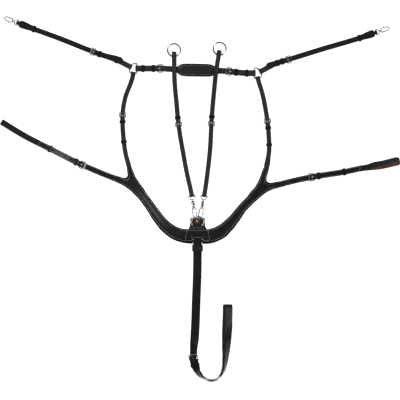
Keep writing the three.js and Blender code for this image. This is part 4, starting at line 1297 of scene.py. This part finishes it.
def make_shield():
    bottom = YOKE_THICK + GAP
    top = bottom + LEATHER
    half, notch = NOTCH_HALF, NOTCH_TOP
    face = [(-39.5, -15.5), (-half, -15.5), (-half, notch), (half, notch), (half, -15.5), (39.5, -15.5),
            (32, 20), (28.5, 20), (24, 27), (-24, 27), (-28.5, 20), (-32, 20)]
    shape = Shape()
    plate(shape, rounded_outline(face, 1.5), bottom, top)
    shield = shape.build("shield_face", "root", [POLISHED], ["centre_shield"])
    across = Line([(0, 0), (10, 0)])
    slit = cutter(across, 0, -13, 13, 1.5, top - 1.2, top + 2)
    slit.points = [p + Vector((0, 2.4, 0)) for p in slit.points]
    cut(shield, [slit])

    bar = Line([(0, CENTRE_DEE["bar"]), (0, CENTRE_DEE["bar"] + 10)])
    height = CENTRE_DEE["height"]
    around = EYELET + LEATHER / 2 + 0.25
    lead = [(-12, top - 0.95), (-7, top - 0.95), (-4, top - 0.7)]
    fold = arc((0, height), around + 0.5, 88, -78, 10)
    back = [(-1, height - around - 0.4), (-6, 2.05)]
    strap("shield_ring_wrap", "root", bar, lead + fold + back, 24, POLISHED, thick=1.9)

    backing = Shape()
    under = [(-29, 19), (29, 19), (23, 30), (21.8, 42), (21.8, 56), (-21.8, 56), (-21.8, 42), (-23, 30)]
    plate(backing, rounded_outline(under, 5), 0.9, 2.9)
    backing.build("shield_backing", "root", [STRAP])
    inset = Shape()
    plate(inset, rounded_outline([(-15, 35), (15, 35), (15, 55), (-15, 55)], 5), 2.9, 3.5, 0.2)
    inset.build("shield_brown_lining", "root", [BROWN])
    rivet = Shape()
    here = Frame(Vector((-1.5, 45, 3.4)), Vector((0, 1e-4, 1)))
    lathe(rivet, here, [(0, 3.6), (0.5, 3.7), (1.2, 3.1), (1.7, 1.9), (1.9, 0.5)], 24)
    rivet.build("shield_rivet", "root", [BRASS])

    rows = []
    for path in ([(-14.8, -13), (-37.2, -13.2), (-31, 17.6), (31, 17.6), (36.8, -13.2), (14.8, -13)],
                 [(-13.5, -3.4), (13.5, -3.4)], [(-16.8, -11), (-16.8, 4)], [(16.8, -11), (16.8, 4)],
                 [(-22, 24.6), (22, 24.6)]):
        for a, b in zip(path, path[1:]):
            rows.append([Vector((*a, top + 0.12)), Vector((*b, top + 0.12))])
    stitching("shield_stitching", "root", THREAD, rows)


def make_centre_dee():
    bar, height, middle, radius, tilt = CENTRE_DEE.values()
    drop = math.degrees(math.asin((middle - bar) / radius))
    lean = Matrix.Rotation(math.radians(tilt), 3, "X")
    bend = arc((0, middle - bar), radius, -drop + 4, 180 + drop - 4, 36)
    wire = Shape()
    places = [Vector((x, y, 0)) for x, y in bend]
    last, first = places[-1], places[0]
    ends = [Vector((last.x + 2.2, 0.15, 0)), Vector((first.x - 2.2, 0.15, 0))]
    wire.tube([lean @ p + Vector((0, bar, height)) for p in places + ends], DEE_WIRE, closed=True, facets=16)
    wire.build("centre_dee_wire", "centre_dee", [STEEL], ["centre_dee"])


# ---------- Girth strap ----------


def make_girth():
    line = Line(GIRTH_LINE)
    at = line.nearest(GIRTH_HEEL)
    tip = at + GIRTH_TIP
    around = RIM_RADIUS + 0.4 + LEATHER / 2
    middle = [(RIM_RADIUS + 1.2, RIM_Z), (30, STACK)]

    def level(s):
        return at_keys(middle, s)[0]

    places = steps_between(0.0, 31.0)
    start = [(s, level(s) - pinch(s, around)) for s in reversed(places)]
    start += arc((0, RIM_Z), around, -100, -260, 14)
    start += [(s, level(s) + pinch(s, around)) for s in places if s < 30]
    keys = [(30, STACK + LAYER), (40, LOW), *billet_keys(at, tip)]
    holes = [cutter(line, at - d, -2.1, 2.1, 1.9, LOW - 0.7, OVER + 6) for d in (111, 94.4, 77.8)]
    strap("girth_billet", "girth_strap", line, start + keys_path(keys, 30, tip), GIRTH, STRAP,
          ["girth_strap"], DARK_FLESH, tip=13, cuts=holes + hole_cutters(line, at, (14,), 2.0))
    buckle("girth", line, at, GIRTH, 17, "girth_strap", "girth_tongue")

    split = tip + 4
    opening = 14
    centre = STACK + GAP + opening / 2 - 2
    open_at = line.length - 30
    middles = [(at, STACK), (split + 70, STACK), (open_at, centre)]
    halves = [(split, LAYER), (split + 12, LEATHER / 2 + 1.1), (split + 70, LEATHER / 2 + 1.1),
              (open_at, (opening + LEATHER) / 2)]

    def mid(s):
        return at_keys(middles, s)[0]

    def half(s):
        return max(heel_pinch(s, at), at_keys(halves, s)[0])

    strap("girth_strap_loop", "girth_strap", line, doubled_path(at, line.length, mid, half), GIRTH,
          POLISHED, ["girth_loop"], DARK_FLESH, closed=True, cuts=[tongue_slot(line, at)])
    ridged = (21.5, 19, GIRTH / 2 + 1.6, level(21.5) - 2.6, level(21.5) + 3.2, 1.6, 0.7)
    keepers("girth_keepers", "girth_strap", line, [chape_keeper(at, GIRTH), ridged])
    stitching("girth_stitching", "girth_strap", BLACK_THREAD, side_rows(
        line, at + 5, split - 2, GIRTH, lambda s: mid(s) + half(s) + LEATHER / 2 + 0.1))


# ---------- Assembly ----------

for side_name, side in SIDES.items():
    make_shoulder(side_name, side)
    make_side(side_name, side)
    make_neck(side_name, side)
    make_saddle(side_name, side)
    make_fork(side_name, side)
    make_dee(f"{side_name}_shoulder_dee", side["dee"], side["sign"])
make_yoke()
make_wither_pad()
make_shield()
make_centre_dee()
make_girth()

# ---------- Floor, light and camera ----------

VIEW_CENTRE = Vector((0.0075, 0.10875, 0))
VIEW_WIDTH = 1.2
CAMERA_HEIGHT = 6.0


def make_floor():
    finish = Finish("pale_floor", 0.9, Specular_IOR_Level=0.1, Emission_Strength=0.8)
    shades = finish.tint(finish.noise(3.0), ((0.90, 0.90, 0.90), (0.92, 0.92, 0.92)))
    finish.use("Base Color", shades)
    mesh = bpy.data.meshes.new("floor")
    work = bmesh.new()
    bmesh.ops.create_grid(work, x_segments=24, y_segments=24, size=4.0)
    work.to_mesh(mesh)
    work.free()
    mesh.materials.append(finish.material)
    floor = bpy.data.objects.new("floor", mesh)
    floor.location = (0, 0, -0.0002)
    bpy.context.scene.collection.objects.link(floor)
    return floor


def add_lamp(name, shape, size, power, place):
    data = bpy.data.lights.new(name, "AREA")
    data.shape = shape
    data.size, data.size_y = size
    data.energy = power
    lamp = bpy.data.objects.new(name, data)
    lamp.location = place
    bpy.context.scene.collection.objects.link(lamp)
    return lamp


def make_light(name, place, size, power):
    """A large soft lamp that faces the middle of the object."""
    lamp = add_lamp(name, "DISK", (size, size), power, place)
    lamp.rotation_euler = (VIEW_CENTRE - Vector(place)).to_track_quat("-Z", "Y").to_euler()


def make_window(name, place, size, turn, power):
    """A small low light facing straight down, which leaves a sheen on the leather under it."""
    lamp = add_lamp(name, "RECTANGLE", size, power, place)
    lamp.rotation_euler = (0, 0, math.radians(turn))
    lamp.visible_camera = False


def make_sky(tree):
    """A white studio overhead that falls off to a dark room near the horizon."""
    place = tree.nodes.new("ShaderNodeTexCoord").outputs["Generated"]
    parts = tree.nodes.new("ShaderNodeSeparateXYZ")
    tree.links.new(place, parts.inputs["Vector"])
    fall = tree.nodes.new("ShaderNodeMapRange")
    for name, value in (("From Min", 0.1), ("From Max", 0.9), ("To Min", 0.2), ("To Max", 1.0)):
        fall.inputs[name].default_value = value
    tree.links.new(parts.outputs["Z"], fall.inputs["Value"])
    background = tree.nodes["Background"]
    background.inputs["Color"].default_value = (0.28, 0.28, 0.285, 1)
    tree.links.new(fall.outputs["Result"], background.inputs["Strength"])


def make_camera():
    data = bpy.data.cameras.new("camera")
    data.sensor_width = 36.0
    data.lens = 36.0 * CAMERA_HEIGHT / VIEW_WIDTH
    data.clip_end = 30.0
    camera = bpy.data.objects.new("camera", data)
    camera.location = VIEW_CENTRE + Vector((0, 0, CAMERA_HEIGHT))
    bpy.context.scene.collection.objects.link(camera)
    bpy.context.scene.camera = camera


make_floor()
make_light("key", (-1.6, 2.2, 2.6), 1.6, 60.0)
make_light("fill", (2.2, -0.6, 2.4), 2.0, 45.0)
make_window("yoke_window", (-0.1463, 0.078, 0.15), (0.09, 0.02), -50, 0.14)
make_window("billet_window", (-0.4178, 0.2434, 0.12), (0.06, 0.02), -28, 0.075)
world = bpy.data.worlds.new("studio")
world.use_nodes = True
make_sky(world.node_tree)
bpy.context.scene.world = world
bpy.context.scene.view_settings.view_transform = "Standard"
make_camera()
